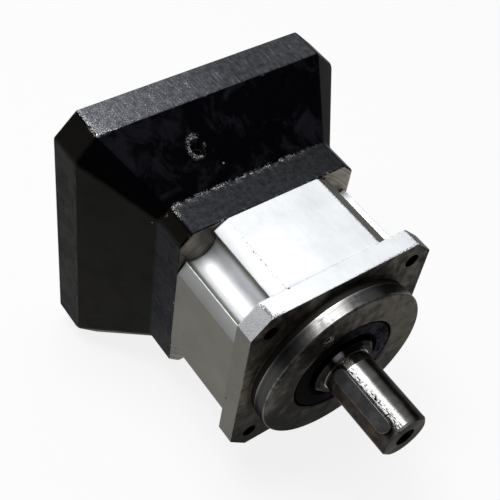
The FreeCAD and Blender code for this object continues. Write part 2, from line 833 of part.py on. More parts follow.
def make_input_bearing():
    """Two ribbed rings with cylindrical rollers in a cage between them."""
    front = web_back
    back = input_bearing_back
    bore = hub_seat_radius
    roller = input_roller_diameter / 2
    middle = (bore + input_bearing_radius) / 2
    inner_track = middle - roller - running_gap
    outer_track = middle + roller + running_gap
    track_front = front - input_rib_width
    track_back = back + input_rib_width
    rib = input_rib_height
    inner_ring = turned([
        (back, bore),
        (back, inner_track + rib),
        (track_back, inner_track + rib),
        (track_back, inner_track),
        (front, inner_track),
        (front, bore),
    ])
    outer_ring = turned([
        (back, input_bearing_radius),
        (back, outer_track - rib),
        (track_back, outer_track - rib),
        (track_back, outer_track),
        (track_front, outer_track),
        (track_front, outer_track - rib),
        (front, outer_track - rib),
        (front, input_bearing_radius),
    ])
    one_roller = round_bar(track_back + roller_end_gap, track_front - roller_end_gap, roller, middle)
    pocket = round_bar(track_back, track_front, roller + pocket_gap, middle)
    cage_ring = ring(back + roller_end_gap, front - roller_end_gap,
                     middle + cage_thickness / 2, middle - cage_thickness / 2)
    return {
        "inner_ring": inner_ring,
        "outer_ring": outer_ring,
        "cage": cage_ring.cut(around(pocket, input_roller_count)),
        "rollers": Part.makeCompound(around(one_roller, input_roller_count)),
    }


def make_hub_circlip():
    """A spring ring in the hub groove that keeps the input bearing on its seat."""
    groove_radius = hub_seat_radius - hub_circlip_depth
    outer = hub_seat_radius + hub_circlip_rise
    blank = ring(web_back, web_back + hub_circlip_width, outer, groove_radius)
    mouth = Part.makeBox(hub_circlip_width, groove_radius, outer,
                         FreeCAD.Vector(web_back, -groove_radius / 2, 0))
    return blank.cut(mouth)


def make_thrust_washers():
    """A washer on each side of every planet, against the carrier walls."""
    inner = pin_radius + running_gap
    washers = []
    for y, z in planet_places:
        for wall, side in ((front_wall_rear, -1), (rear_wall_front, 1)):
            washers.append(ring(wall, wall + side * washer_thickness, pin_radius + washer_width, inner, y, z))
    return Part.makeCompound(washers)


def build():
    """Every piece by the name of its file."""
    pieces = {
        "housing": make_housing(),
        "ring_gear": make_ring_gear(),
        "motor_adapter": make_adapter(),
        "adapter_screws": Part.makeCompound(make_adapter_screws()),
        "access_plug": make_access_plug(),
        "grease_plug": set_screw(grease_plug_diameter, grease_plug_length).translated(
            polar(pilot_length - grease_plug_sink, grease_plug_reach, grease_plug_turn)),
        "shaft_seal": make_shaft_seal(),
        "input_seal": make_input_seal(),
        "preload_shim": ring(shim_back, rear_cup_back, rear_bearing_radius, rear_bearing_radius - shim_width),
        "spigot_seal_ring": ring(body_back + spigot_ring_setback,
                                 body_back + spigot_ring_setback + spigot_ring_width,
                                 ring_outside_radius, ring_outside_radius - spigot_ring_depth),
        "output_shaft": make_output_shaft(),
        "output_key": make_key(),
        "thrust_washers": make_thrust_washers(),
        "input_shaft": make_input_shaft(),
        "clamp_ring": make_clamp_ring(),
        "clamp_screw": make_clamp_screw(),
        "hub_circlip": make_hub_circlip(),
    }
    front = taper_bearing(collar_radius, front_bearing_radius, front_bearing_width, front_cup_width,
                          front_roller_diameter, front_roller_tilt, front_roller_count,
                          front_large_rib, front_small_rib)
    for name, shape in placed_bearing(front, front_cone_back, 1).items():
        pieces["front_bearing_" + name] = shape
    rear = taper_bearing(boss_radius, rear_bearing_radius, rear_bearing_width, rear_cup_width,
                         rear_roller_diameter, rear_roller_tilt, rear_roller_count,
                         rear_large_rib, rear_small_rib)
    for name, shape in placed_bearing(rear, rear_cone_back, -1).items():
        pieces["rear_bearing_" + name] = shape
    for name, shape in make_input_bearing().items():
        pieces["input_bearing_" + name] = shape
    pin_front = front_wall_rear + pin_blind_depth
    for number, (y, z) in enumerate(planet_places, start=1):
        teeth = outside_gear(planet_teeth, planet_phases[number - 1]).translated(FreeCAD.Vector(0, y, z))
        pieces["planet_gear_%d" % number] = teeth.cut(round_bar(gear_rear, gear_front, bush_radius, y, z))
        pieces["planet_bush_%d" % number] = ring(gear_rear, gear_front, bush_radius,
                                                 pin_radius + running_gap, y, z)
        pieces["planet_pin_%d" % number] = round_bar(rear_cone_back, pin_front, pin_radius, y, z)
    return pieces


os.makedirs("parts", exist_ok=True)
for piece_name, piece_shape in build().items():
    piece_shape.exportStep("parts/%s.step" % piece_name)
    print(piece_name, len(piece_shape.Solids), "solids", round(piece_shape.Volume, 1), "mm3")
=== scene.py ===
import json
import math
from functools import partial

import bpy
from mathutils import Matrix, Vector


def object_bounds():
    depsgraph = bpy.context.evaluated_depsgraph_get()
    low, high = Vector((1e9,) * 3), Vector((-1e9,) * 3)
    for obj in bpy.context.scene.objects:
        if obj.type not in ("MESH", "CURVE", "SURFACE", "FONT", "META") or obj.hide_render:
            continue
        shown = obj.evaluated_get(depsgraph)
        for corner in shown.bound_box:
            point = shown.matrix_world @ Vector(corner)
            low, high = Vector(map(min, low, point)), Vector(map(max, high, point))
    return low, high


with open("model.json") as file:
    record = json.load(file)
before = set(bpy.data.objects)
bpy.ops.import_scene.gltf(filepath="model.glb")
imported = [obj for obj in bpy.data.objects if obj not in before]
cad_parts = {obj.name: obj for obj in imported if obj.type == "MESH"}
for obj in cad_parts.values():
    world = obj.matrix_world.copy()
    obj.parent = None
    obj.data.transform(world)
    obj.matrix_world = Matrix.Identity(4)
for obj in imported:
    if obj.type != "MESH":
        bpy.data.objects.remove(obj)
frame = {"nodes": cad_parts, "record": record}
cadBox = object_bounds()
nodes = frame["nodes"]
mm = 0.001  # the frame is in metres, and the sizes below are in millimetres

scene = bpy.context.scene
scene.view_settings.view_transform = "Standard"

# The camera stands in front of the output side, to the left of the shaft and well above it.
# Its roll is there because the gearbox lay tipped on to its flange when the picture was taken.
viewpoint = {
    "placeMm": (155.24, -199.06, 340.57),
    "azimuthDeg": 46.8738,
    "elevationDeg": 49.1582,
    "rollDeg": 10.2726,
    "focalPixels": 1016.98,
    "picturePixels": 500,
    "sensorMm": 36.0,
}


def placeCamera(settings):
    azimuth, elevation, roll = (math.radians(settings[angle])
                                for angle in ("azimuthDeg", "elevationDeg", "rollDeg"))
    back = Vector((math.sin(azimuth) * math.cos(elevation), -math.cos(azimuth) * math.cos(elevation),
                   math.sin(elevation)))
    level = Vector((math.cos(azimuth), math.sin(azimuth), 0))
    steep = back.cross(level)
    right = level * math.cos(roll) + steep * math.sin(roll)
    up = steep * math.cos(roll) - level * math.sin(roll)
    data = bpy.data.cameras.new("camera")
    data.sensor_fit = "HORIZONTAL"
    data.sensor_width = settings["sensorMm"]
    data.lens = settings["focalPixels"] / settings["picturePixels"] * settings["sensorMm"]
    data.clip_start = 1 * mm
    camera = bpy.data.objects.new("camera", data)
    turn = Matrix((right, up, back)).transposed().to_4x4()
    camera.matrix_world = Matrix.Translation(Vector(settings["placeMm"]) * mm) @ turn
    scene.collection.objects.link(camera)
    scene.camera = camera


placeCamera(viewpoint)
print("camera placed")


def linear(hexColour):
    # sRGB hex to the linear colour that the shaders take
    parts = [int(hexColour[i:i + 2], 16) / 255 for i in (1, 3, 5)]
    return [c / 12.92 if c <= 0.04045 else ((c + 0.055) / 1.055) ** 2.4 for c in parts] + [1.0]


def feed(node, inputs):
    for name, value in inputs.items():
        if isinstance(value, bpy.types.Node):  # a node stands for its output in use
            value = next(output for output in value.outputs if output.enabled)
        if isinstance(value, bpy.types.NodeSocket):
            node.id_data.links.new(value, node.inputs[name])
        else:
            colour = isinstance(value, str) and value.startswith("#")
            node.inputs[name].default_value = linear(value) if colour else value


def add(tree, kind, inputs=None, operation=None, **settings):
    made = tree.nodes.new(kind if "Node" in kind else "ShaderNode" + kind)
    if operation:
        made.operation = operation
    for name, value in settings.items():
        setattr(made, name, value)
    feed(made, inputs or {})
    return made


soft = {"interpolation_type": "SMOOTHSTEP"}  # for a range that eases in and out
noiseSpan = (0.3, 0.7)  # nearly all that a noise texture gives lies between these


def span(value, ends, gives=(0.0, 1.0)):
    # the sockets of a range: a value, the two ends that it runs between, and what the range gives there
    return {"Value": value, "From Min": ends[0], "From Max": ends[1], "To Min": gives[0], "To Max": gives[1]}


studio = {
    "aimMm": (-25.0, 0.0, 20.0),
    "lamps": [
        # behind the gearbox and overhead, where the bright streaks point
        {"name": "overheadKey", "towards": (-0.22, -0.13, 0.967), "distanceMm": 900.0,
         "sizeMm": (640.0, 400.0), "watts": 8.0},
        # a pale wall on the far side, which the flat tops mirror
        {"name": "farFill", "towards": (-0.42, 0.60, 0.68), "distanceMm": 1100.0,
         "sizeMm": (900.0, 900.0), "watts": 0.8},
    ],
    "roomColour": "#606164",
    "floorColour": "#f7f7f7",
    "floorSizeMm": 6000.0,
    "paperGlow": 0.85,  # share of the paper that is seen as clean white, the rest takes the shadow
}


def hangLamp(settings, aim):
    towards = Vector(settings["towards"]).normalized()
    data = bpy.data.lights.new(settings["name"], "AREA")
    data.shape = "RECTANGLE"
    data.size, data.size_y = (side * mm for side in settings["sizeMm"])
    data.energy = settings["watts"]
    lamp = bpy.data.objects.new(settings["name"], data)
    along = Vector((0, 1, 0))
    along = (along - towards * along.dot(towards)).normalized()
    turn = Matrix((along, towards.cross(along), towards)).transposed().to_4x4()
    lamp.matrix_world = Matrix.Translation(aim + towards * settings["distanceMm"] * mm) @ turn
    scene.collection.objects.link(lamp)


def buildStudio(settings):
    for lamp in settings["lamps"]:
        hangLamp(lamp, Vector(settings["aimMm"]) * mm)

    world = bpy.data.worlds.new("room")
    world.use_nodes = True
    world.node_tree.nodes["Background"].inputs["Color"].default_value = linear(settings["roomColour"])
    scene.world = world

    half = settings["floorSizeMm"] / 2 * mm
    low = cadBox[0].z
    mesh = bpy.data.meshes.new("floor")
    mesh.from_pydata([(-half, -half, low), (half, -half, low), (half, half, low), (-half, half, low)], [],
                     [(0, 1, 2, 3)])
    floor = bpy.data.objects.new("floor", mesh)
    scene.collection.objects.link(floor)
    paper = bpy.data.materials.new("whitePaperSweep")
    paper.use_nodes = True
    tree = paper.node_tree
    tree.nodes.clear()
    put = partial(add, tree)
    sheet = put("BsdfDiffuse", {"Color": settings["floorColour"]})
    white = put("Emission", {"Color": "#ffffff", "Strength": 1.0})
    rays = put("LightPath").outputs
    seen = put("Math", {0: rays["Is Camera Ray"], 1: rays["Is Glossy Ray"]}, "MAXIMUM")
    seen = put("Math", {0: seen, 1: rays["Is Transmission Ray"]}, "MAXIMUM")
    share = put("Math", {0: seen, 1: settings["paperGlow"]}, "MULTIPLY")
    put("OutputMaterial", {"Surface": put("MixShader", {0: share, 1: sheet, 2: white})})
    mesh.materials.append(paper)


buildStudio(studio)
print("studio built")

# A file or a stone takes the sharpness off each edge: the width that it leaves, in mm
brokenEdges = {
    "output_shaft": 0.25,
    "output_key": 0.3,
    "shaft_seal": 0.25,
    "grease_plug": 0.12,
    "access_plug": 0.2,
    "input_shaft": 0.2,
    "clamp_ring": 0.4,
    "clamp_screw": 0.2,
    "adapter_screws": 0.2,
    "input_seal": 0.2,
}
edgeWork = {
    "joinMm": 0.002,
    "flatDeg": 0.5,
    "sharpDeg": 28.0,
    "facets": 3,
    "evenWeight": 50,
}

# The two large pieces are rounded more on the outside, where they are handled. An eight-sided outline that
# grows along the taper picks out the adapter's edges, and the distance from the axis picks out the housing's.
adapterOutside = {
    "widthMm": 1.2,
    "insideMm": 0.4,
    "taperMm": (-65.6, -95.5),
    "halfMm": (44.0, 65.0),
    "cornerSumMm": (82.6, 119.6),
    "keepMm": 0.3,
    "notAtMm": (-80.5, -17.0, 0.0),  # the plugged hole in the top slope
    "notWithinMm": 4.5,
}
housingOutside = {
    "widthMm": 0.35,
    "insideMm": 0.3,
    "fromAxisMm": 38.0,
    "notAtMm": (0.0, 35.36, 35.36),  # the bolt holes
    "notWithinMm": 4.5,
}


def joinFacets(piece):
    join = piece.modifiers.new("joinFacets", "WELD")
    join.merge_threshold = edgeWork["joinMm"] * mm
    flat = piece.modifiers.new("flatFaces", "DECIMATE")
    flat.decimate_type = "DISSOLVE"
    flat.angle_limit = math.radians(edgeWork["flatDeg"])


def breakEdges(piece, widthMm, marked=None, clamp=True):
    broken = piece.modifiers.new("brokenEdges", "BEVEL")
    broken.width = widthMm * mm
    broken.segments = edgeWork["facets"]
    broken.use_clamp_overlap = clamp
    if marked:
        broken.limit_method = "WEIGHT"
        broken.edge_weight = marked
    else:
        broken.limit_method = "ANGLE"
        broken.angle_limit = math.radians(edgeWork["sharpDeg"])


def evenShade(piece):
    shade = piece.modifiers.new("evenShade", "WEIGHTED_NORMAL")
    shade.weight = edgeWork["evenWeight"]


def outsideOfAdapter(put, at, settings):
    wide, high = (put("Math", {0: at[axis]}, "ABSOLUTE") for axis in ("Y", "Z"))
    half, corner = (put("MapRange", span(at["X"], settings["taperMm"], settings[size]))
                    for size in ("halfMm", "cornerSumMm"))
    flat = put("Math", {0: put("Math", {0: wide, 1: high}, "MAXIMUM"), 1: half}, "SUBTRACT")
    cut = put("Math", {0: put("Math", {0: wide, 1: high}, "ADD"), 1: corner}, "SUBTRACT")
    nearest = put("Math", {0: flat, 1: cut}, "MAXIMUM")
    outside = put("Math", {0: nearest, 1: -settings["keepMm"]}, "GREATER_THAN")
    return outside, put("CombineXYZ", {"X": at["X"], "Y": at["Y"]})


def outsideOfHousing(put, at, settings):
    across = put("VectorMath", {0: put("CombineXYZ", {"Y": at["Y"], "Z": at["Z"]})}, "ABSOLUTE")
    radius = put("VectorMath", {0: across}, "LENGTH")
    outside = put("Math", {0: radius, 1: settings["fromAxisMm"]}, "GREATER_THAN")
    return outside, across


def roundOutside(piece, pick, settings):
    joinFacets(piece)
    tree = bpy.data.node_groups.new(piece.name + "Edges", "GeometryNodeTree")
    for way in ("INPUT", "OUTPUT"):
        tree.interface.new_socket("Geometry", in_out=way, socket_type="NodeSocketGeometry")
    put = partial(add, tree)
    place = put("VectorMath", {0: put("GeometryNodeInputPosition"), "Scale": 1 / mm}, "SCALE")
    outside, across = pick(put, put("SeparateXYZ", {0: place}).outputs, settings)
    fromHole = put("VectorMath", {0: across, 1: settings["notAtMm"]}, "DISTANCE")
    clear = put("Math", {0: fromHole, 1: settings["notWithinMm"]}, "GREATER_THAN")
    outside = put("Math", {0: outside, 1: clear}, "MULTIPLY")
    sharp = put("GeometryNodeInputMeshEdgeAngle").outputs["Unsigned Angle"]
    sharp = put("Math", {0: sharp, 1: math.radians(edgeWork["sharpDeg"])}, "GREATER_THAN")
    marks = {"outsideEdges": put("Math", {0: sharp, 1: outside}, "MULTIPLY"),
             "insideEdges": put("Math", {0: sharp, 1: outside}, "GREATER_THAN")}
    shape = put("NodeGroupInput")
    for mark, value in marks.items():
        shape = put("GeometryNodeStoreNamedAttribute", {"Geometry": shape, "Name": mark, "Value": value},
                    data_type="FLOAT", domain="EDGE")
    put("NodeGroupOutput", {0: shape})
    marker = piece.modifiers.new("markEdges", "NODES")
    marker.node_group = tree
    breakEdges(piece, settings["widthMm"], "outsideEdges", clamp=False)
    breakEdges(piece, settings["insideMm"], "insideEdges")
    evenShade(piece)


for name, widthMm in brokenEdges.items():
    joinFacets(nodes[name])
    breakEdges(nodes[name], widthMm)
    evenShade(nodes[name])
roundOutside(nodes["motor_adapter"], outsideOfAdapter, adapterOutside)
roundOutside(nodes["housing"], outsideOfHousing, housingOutside)
print("edges broken on", len(brokenEdges) + 2, "pieces")


def startFinish(name):
    material = bpy.data.materials.new(name)
    material.use_nodes = True
    material.node_tree.nodes.clear()
    shader = add(material.node_tree, "BsdfPrincipled")
    add(material.node_tree, "OutputMaterial", {"Surface": shader})
    return material, partial(add, material.node_tree), shader


def surfaceSpace(put):
    # where a point is on the gearbox, in mm, and which way its surface faces
    coords = put("TexCoord").outputs
    place = put("VectorMath", {0: coords["Object"], "Scale": 1 / mm}, "SCALE")
    at = put("SeparateXYZ", {0: place}).outputs
    faces = put("SeparateXYZ", {0: coords["Normal"]}).outputs
    across = put("CombineXYZ", {"Y": at["Y"], "Z": at["Z"]})
    radius = put("VectorMath", {0: across}, "LENGTH")
    spoke = put("VectorMath", {0: across}, "NORMALIZE")
    outward = put("VectorMath", {0: spoke, 1: coords["Normal"]}, "DOT_PRODUCT")
    return {"place": place, "x": at["X"], "y": at["Y"], "z": at["Z"], "radius": radius, "outward": outward,
            "spoke": spoke, "facesX": faces["X"], "facesY": faces["Y"], "facesZ": faces["Z"]}


def edgeWear(put, place, widthMm, patchMm, patchy):
    # handling shows along the edges, in patches: a rounded normal differs from the true one only there
    offEdge, onEdge = 0.995, 0.90  # the cosine between the two
    rounded = put("Bevel", {"Radius": widthMm * mm}, samples=6)
    true = put("NewGeometry").outputs["Normal"]
    same = put("VectorMath", {0: rounded, 1: true}, "DOT_PRODUCT")
    edge = put("MapRange", span(same, (offEdge, onEdge)), **soft)
    patches = put("TexNoise", {"Vector": place, "Scale": 1 / patchMm, "Detail": 4.0, "Roughness": 0.7})
    worn = put("MapRange", span(patches, patchy), **soft)
    return put("Math", {0: edge, 1: worn}, "MULTIPLY")


def fromHoles(put, place, atMm):
    # distance, across the shaft, from the nearest of four holes on the diagonals
    quarter = put("VectorMath", {0: place}, "ABSOLUTE")
    away = put("VectorMath", {0: quarter, 1: (0.0, atMm, atMm)}, "SUBTRACT")
    away = put("VectorMath", {0: away, 1: (0.0, 1.0, 1.0)}, "MULTIPLY")
    return put("VectorMath", {0: away}, "LENGTH")


def threadRelief(put, x, pitchMm, height):
    turns = put("Math", {0: x, 1: 2 * math.pi / pitchMm}, "MULTIPLY")
    return put("Math", {0: put("Math", {0: turns}, "SINE"), 1: height}, "MULTIPLY")


# Housing: milled and turned steel, bare, handled and oiled. Its top is bright with painted light, its sides
# dull with painted shade, and what faces the output side is stained brown-grey, partly painted shade, with
# the rings that the facing tool left.
housingSteel = {
    "name": "milledBareSteel",
    # the first two colours are painted light on the top and painted shade on the sides
    "paintedHighlight": "#f1f3f5",
    "shadedSides": "#888781",
    "pit": "#2a2826",
    "stainDark": "#17140f",
    "stainLight": "#57534b",
    "paintedLightTone": "#8a847a",
    "pilotDark": "#5e5d5d",
    "pilotLight": "#8b8a89",
    "grooveGrimeAndShade": "#35322e",
    "bore": "#26231f",
    "glancing": "#bcbcbc",
    "glossLevel": 0.15,
    "milledRoughness": 0.58,
    "pilotRoughness": 0.33,
    "stainedRoughness": 0.5,
    "ripple": (-0.05, 0.05),
    "stainedMetal": 0.75,
    "fluteMetal": 0.75,
    "stepMetal": 0.2,  # the low step behind the flange is full of pale dust
    "reliefMm": 0.02,
    "reliefStrength": 0.35,
    "feedMarkMm": 0.5,  # the true marks, about 0.1 mm apart, would not show
    "feedMarkStretch": (0.08, 1.0, 1.0),
    "ringPitchMm": 0.7,  # coarser than the true feed
    "cloudMm": 16.0,
    "blotMm": 4.5,
    "gritMm": 0.5,  # drawn coarse enough to show
    "cloudShade": (0.90, 1.05),
    "grainShade": (0.96, 1.03),
    "ringShade": (0.85, 1.12),
    "facesOutput": (0.55, 0.85),
    "facesUp": 0.8,
    "facesFar": (0.5, 0.2),
    "litFaces": (0.36, 0.74),  # how far a flat looks up where the painted light of the top begins, and then a flute
    "litFluteFaces": (-0.1, 0.4),
    "litFromMm": (12.0, 24.0),
    "pitSpacingMm": 13.0,
    "pitSize": (0.055, 0.03),
    "speckWidthMm": 0.8,
    "speckPatchMm": 1.6,
    "speckPatchy": (0.51, 0.58),
    "speckShare": 0.85,
    "flangeBackMm": -9.2,
    "flatEndMm": 23.3,  # where the body's flats run out into its round corners
    "flatEndSpecksMm": (0.9, 0.2),
    "flatEndGrit": (0.5, 0.56),
    "flatEndClouds": (0.35, 0.5),
    "flangeFlatMm": 36.5,
    "lipGritMm": 7.0,
    "lipLean": 0.02,
    "lipSpecksMm": (3.5, 4.0),
    "chippedAtMm": (-3.5, -35.0, 45.0),
    "chippedMm": (8.0, 2.0),
    "chippedMoreMm": 2.2,
    "cutFaces": (0.88, 0.8),
    "cutFaceGrit": (0.46, 0.64),
    "cutFaceShare": 0.4,
    "edgeMm": 0.7,
    "edgePatchy": (0.3, 0.4),
    "edgeByHoleMm": (10.0, 9.5),
    "edgeFromMm": (10.0, 30.0),
    "boltHoleAtMm": 35.36,
    "boltHoleRadiusMm": 3.5,
    "fluteRadiusMm": 8.7,
    "stepMm": (1.0, 0.7),
    "grooveFromMm": 0.05,
    "pilotFromMm": (3.0, 3.2),
    "pilotFootEdgeMm": (4.1, 3.7),
    "pilotTipMm": 9.2,
    "pilotTipEdgeMm": (0.4, 0.15),
    "pilotTipPatchy": (0.42, 0.56),
    "pilotTipShare": 0.5,
    "pilotPaintedShade": (0.31, 0.55),  # painted shade on the pilot, lighter in a tail round its painted highlight, and where that tail lies
    "pilotHighlightTailSpread": (0.93, 1.06),
    "pilotHighlightSpread": (1.05, 1.15),
    "pilotHighlightSide": (0.0, -0.225, 0.974),
    "pilotHighlightBlots": 0.3,
    "stainBlots": 0.45,
    "pilotShadeLean": 0.0034,
    "stainSpread": (0.36, 0.62),
    "mottleSpread": (0.34, 0.66),
    "mottle": (0.7, 1.35),
    "shadedBelowMm": (-30.0, 2.0),
    "belowShade": (0.3, 1.0),
    "paintedLightSpots": [  # painted light: lighter patches on the flange's left edge and a spot above, where it lies in shade
        {"atMm": (0.0, -43.0, 4.0), "fadeMm": (20.0, 4.0), "share": 1.0},
        {"atMm": (0.0, -15.0, 42.0), "fadeMm": (8.0, 2.0), "share": 1.6},
    ],
}


def makeHousingSteel(steel):
    material, put, shader = startFinish(steel["name"])
    here = surfaceSpace(put)
    front = put("MapRange", span(here["facesX"], steel["facesOutput"]), **soft)
    facesUp = put("Math", {0: here["facesZ"], 1: steel["facesUp"]}, "GREATER_THAN")
    body = put("Math", {0: here["x"], 1: steel["flangeBackMm"]}, "LESS_THAN")
    flange = put("Math", {0: here["x"], 1: steel["flangeBackMm"]}, "GREATER_THAN")
    fromHole = fromHoles(put, here["place"], steel["boltHoleAtMm"])
    flute = put("Math", {0: fromHole, 1: steel["fluteRadiusMm"]}, "LESS_THAN")
    flute = put("Math", {0: flute, 1: body}, "MULTIPLY")
    # painted light and shade: faces high up that look up, and not to the far side, take the lighter colour
    looksUp = [put("Mix", {0: flute, 2: onFlat, 3: inFlute})
               for onFlat, inFlute in zip(steel["litFaces"], steel["litFluteFaces"])]
    upper = put("MapRange", span(here["facesZ"], looksUp), **soft)
    near = put("MapRange", span(here["facesY"], steel["facesFar"]), **soft)
    litTop = put("MapRange", span(here["z"], steel["litFromMm"]), **soft)
    for mask in (upper, near):
        litTop = put("Math", {0: litTop, 1: mask}, "MULTIPLY")

    # milled flats, with a fine grain along the shaft
    drawn = put("VectorMath", {0: here["place"], 1: steel["feedMarkStretch"]}, "MULTIPLY")
    grain = put("TexNoise", {"Vector": drawn, "Scale": 1 / steel["feedMarkMm"], "Detail": 2.0})
    grit, cloud, blots = (
        put("TexNoise", {"Vector": here["place"], "Scale": 1 / steel[size], "Detail": detail,
                         "Roughness": rough})
        for size, detail, rough in (("gritMm", 3.0, 0.5), ("cloudMm", 5.0, 0.6), ("blotMm", 6.0, 0.65)))
    base = put("Mix", {0: litTop, 6: steel["shadedSides"], 7: steel["paintedHighlight"]}, data_type="RGBA")
    for pattern, shade in ((cloud, steel["cloudShade"]), (grain, steel["grainShade"])):
        shade = put("MapRange", span(pattern, noiseSpan, shade))
        base = put("VectorMath", {0: base, "Scale": shade}, "SCALE")

    # dark specks: along edges, where the flats end, on the flange's lip and on its cut faces, and a few pits
    across = put("Math", {0: here["y"]}, "ABSOLUTE")
    flatEnd = put("Math", {0: across, 1: steel["flatEndMm"]}, "SUBTRACT")
    flatEnd = put("Math", {0: flatEnd}, "ABSOLUTE")
    flatEnd = put("MapRange", span(flatEnd, steel["flatEndSpecksMm"]))
    gritty = put("MapRange", span(grit, steel["flatEndGrit"]))
    cloudy = put("MapRange", span(cloud, steel["flatEndClouds"]))
    for mask in (gritty, facesUp, body, cloudy):
        flatEnd = put("Math", {0: flatEnd, 1: mask}, "MULTIPLY")
    lip = put("Math", {0: across, 1: steel["flangeFlatMm"]}, "SUBTRACT")
    lip = put("Math", {0: lip, 1: here["x"]}, "MAXIMUM")
    chipped = put("VectorMath", {0: here["place"], 1: steel["chippedAtMm"]}, "DISTANCE")
    chipped = put("MapRange", span(chipped, steel["chippedMm"], (0.0, steel["chippedMoreMm"])))
    for more, share in ((grit, steel["lipGritMm"]), (here["y"], steel["lipLean"]), (chipped, 1.0)):
        lip = put("Math", {0: more, 1: share, 2: lip}, "MULTIPLY_ADD")
    lip = put("MapRange", span(lip, steel["lipSpecksMm"]))
    for mask in (facesUp, flange):
        lip = put("Math", {0: lip, 1: mask}, "MULTIPLY")
    cutFace = put("MapRange", span(here["facesZ"], steel["cutFaces"]))
    gritty = put("MapRange", span(grit, steel["cutFaceGrit"], (0.0, steel["cutFaceShare"])))
    for mask in (flange, gritty):
        cutFace = put("Math", {0: cutFace, 1: mask}, "MULTIPLY")
    specks = edgeWear(put, here["place"], steel["speckWidthMm"], steel["speckPatchMm"], steel["speckPatchy"])
    for more in (flatEnd, lip, cutFace):
        specks = put("Math", {0: specks, 1: more}, "MAXIMUM")
    specks = put("Math", {0: specks, 1: steel["speckShare"]}, "MULTIPLY")
    pits = put("TexVoronoi", {"Vector": here["place"], "Scale": 1 / steel["pitSpacingMm"]})
    pit = put("MapRange", span(pits, steel["pitSize"]), **soft)
    pit = put("Math", {0: pit, 1: specks}, "MAXIMUM")

    # painted highlight along the edges, in patches, high up by the flutes
    edgeHighlight = edgeWear(put, here["place"], steel["edgeMm"], steel["blotMm"], steel["edgePatchy"])
    byHole = put("MapRange", span(fromHole, steel["edgeByHoleMm"]))
    highUp = put("MapRange", span(here["z"], steel["edgeFromMm"]))
    for mask in (byHole, highUp):
        edgeHighlight = put("Math", {0: edgeHighlight, 1: mask}, "MULTIPLY")
    base = put("Mix", {0: edgeHighlight, 6: base, 7: steel["paintedHighlight"]}, data_type="RGBA")
    base = put("Mix", {0: pit, 6: base, 7: steel["pit"]}, data_type="RGBA")

    # the turned pilot, with a painted highlight near its top, a lighter tail round it, painted highlights in
    # patches along its tip and along its foot, painted shade elsewhere, and the groove at its foot
    pilot = put("MapRange", span(here["x"], steel["pilotFromMm"]))
    groove = put("Math", {0: here["x"], 1: steel["grooveFromMm"]}, "GREATER_THAN")
    groove = put("Math", {0: groove, 1: pilot}, "SUBTRACT", use_clamp=True)
    lines = put("TexNoise", {"Vector": put("CombineXYZ", {"X": here["x"]}), "Scale": 1 / steel["feedMarkMm"],
                             "Detail": 3.0})
    pilotShade = put("MapRange", span(lines, noiseSpan))
    pilotColour = put("Mix", {0: pilotShade, 6: steel["pilotDark"], 7: steel["pilotLight"]}, data_type="RGBA")
    # painted highlight near the top of the pilot, with painted shade elsewhere
    paintedLightTone = put("VectorMath", {0: here["spoke"], 1: steel["pilotHighlightSide"]}, "DOT_PRODUCT")
    paintedLightTone = put("Math", {0: blots, 1: steel["pilotHighlightBlots"], 2: paintedLightTone}, "MULTIPLY_ADD")
    highlightTail = put("MapRange", span(paintedLightTone, steel["pilotHighlightTailSpread"], steel["pilotPaintedShade"]), **soft)
    paintedLightTone = put("MapRange", span(paintedLightTone, steel["pilotHighlightSpread"]), **soft)
    paintedLightTone = put("Math", {0: paintedLightTone, 1: highlightTail}, "MAXIMUM")
    tipEdge = put("Math", {0: steel["pilotTipMm"], 1: here["x"]}, "SUBTRACT")
    tipEdge = put("Math", {0: tipEdge}, "ABSOLUTE")
    tipEdge = put("MapRange", span(tipEdge, steel["pilotTipEdgeMm"]))
    tipPatches = put("MapRange", span(blots, steel["pilotTipPatchy"], (0.0, steel["pilotTipShare"])))
    footEdge = put("MapRange", span(here["x"], steel["pilotFootEdgeMm"]))
    for edge, share in ((tipEdge, tipPatches), (footEdge, 1.0)):
        paintedLightTone = put("Math", {0: edge, 1: share, 2: paintedLightTone}, "MULTIPLY_ADD")
    pilotColour = put("VectorMath", {0: pilotColour, "Scale": paintedLightTone}, "SCALE")
    base = put("Mix", {0: pilot, 6: base, 7: pilotColour}, data_type="RGBA")
    # grime and painted shade: the groove at the pilot's foot is darkened
    base = put("Mix", {0: groove, 6: base, 7: steel["grooveGrimeAndShade"]}, data_type="RGBA")

    # what faces the output side: brown-grey stains that are partly painted shade, with painted shade that
    # lightens towards +Y on the pilot and darkens towards the bottom, over the rings of the facing cut
    rings = put("TexNoise", {"Vector": put("CombineXYZ", {"X": here["radius"]}),
                             "Scale": 1 / steel["ringPitchMm"], "Detail": 2.0})
    lean = put("Math", {0: pilot, 1: steel["pilotShadeLean"]}, "MULTIPLY")
    stain = put("Mix", {0: steel["stainBlots"], 2: cloud, 3: blots})
    stain = put("Math", {0: here["y"], 1: lean, 2: stain}, "MULTIPLY_ADD")
    stain = put("MapRange", span(stain, steel["stainSpread"]), **soft)
    stainedAndShaded = put("Mix", {0: stain, 6: steel["stainDark"], 7: steel["stainLight"]}, data_type="RGBA")
    # painted light: two lighter patches on the face, where it lies in shade
    paintedLightSpots = 0.0
    for spot in steel["paintedLightSpots"]:
        away = put("VectorMath", {0: here["place"], 1: spot["atMm"]}, "DISTANCE")
        touched = put("MapRange", span(away, spot["fadeMm"], (0.0, spot["share"])), **soft)
        paintedLightSpots = put("Math", {0: paintedLightSpots, 1: touched}, "MAXIMUM")
    paintedLightSpots = put("Math", {0: paintedLightSpots, 1: blots}, "MULTIPLY")
    stainedAndShaded = put("Mix", {0: paintedLightSpots, 6: stainedAndShaded, 7: steel["paintedLightTone"]}, data_type="RGBA")
    ringShade = put("MapRange", span(rings, noiseSpan, steel["ringShade"]))
    mottle = put("MapRange", span(blots, steel["mottleSpread"], steel["mottle"]))
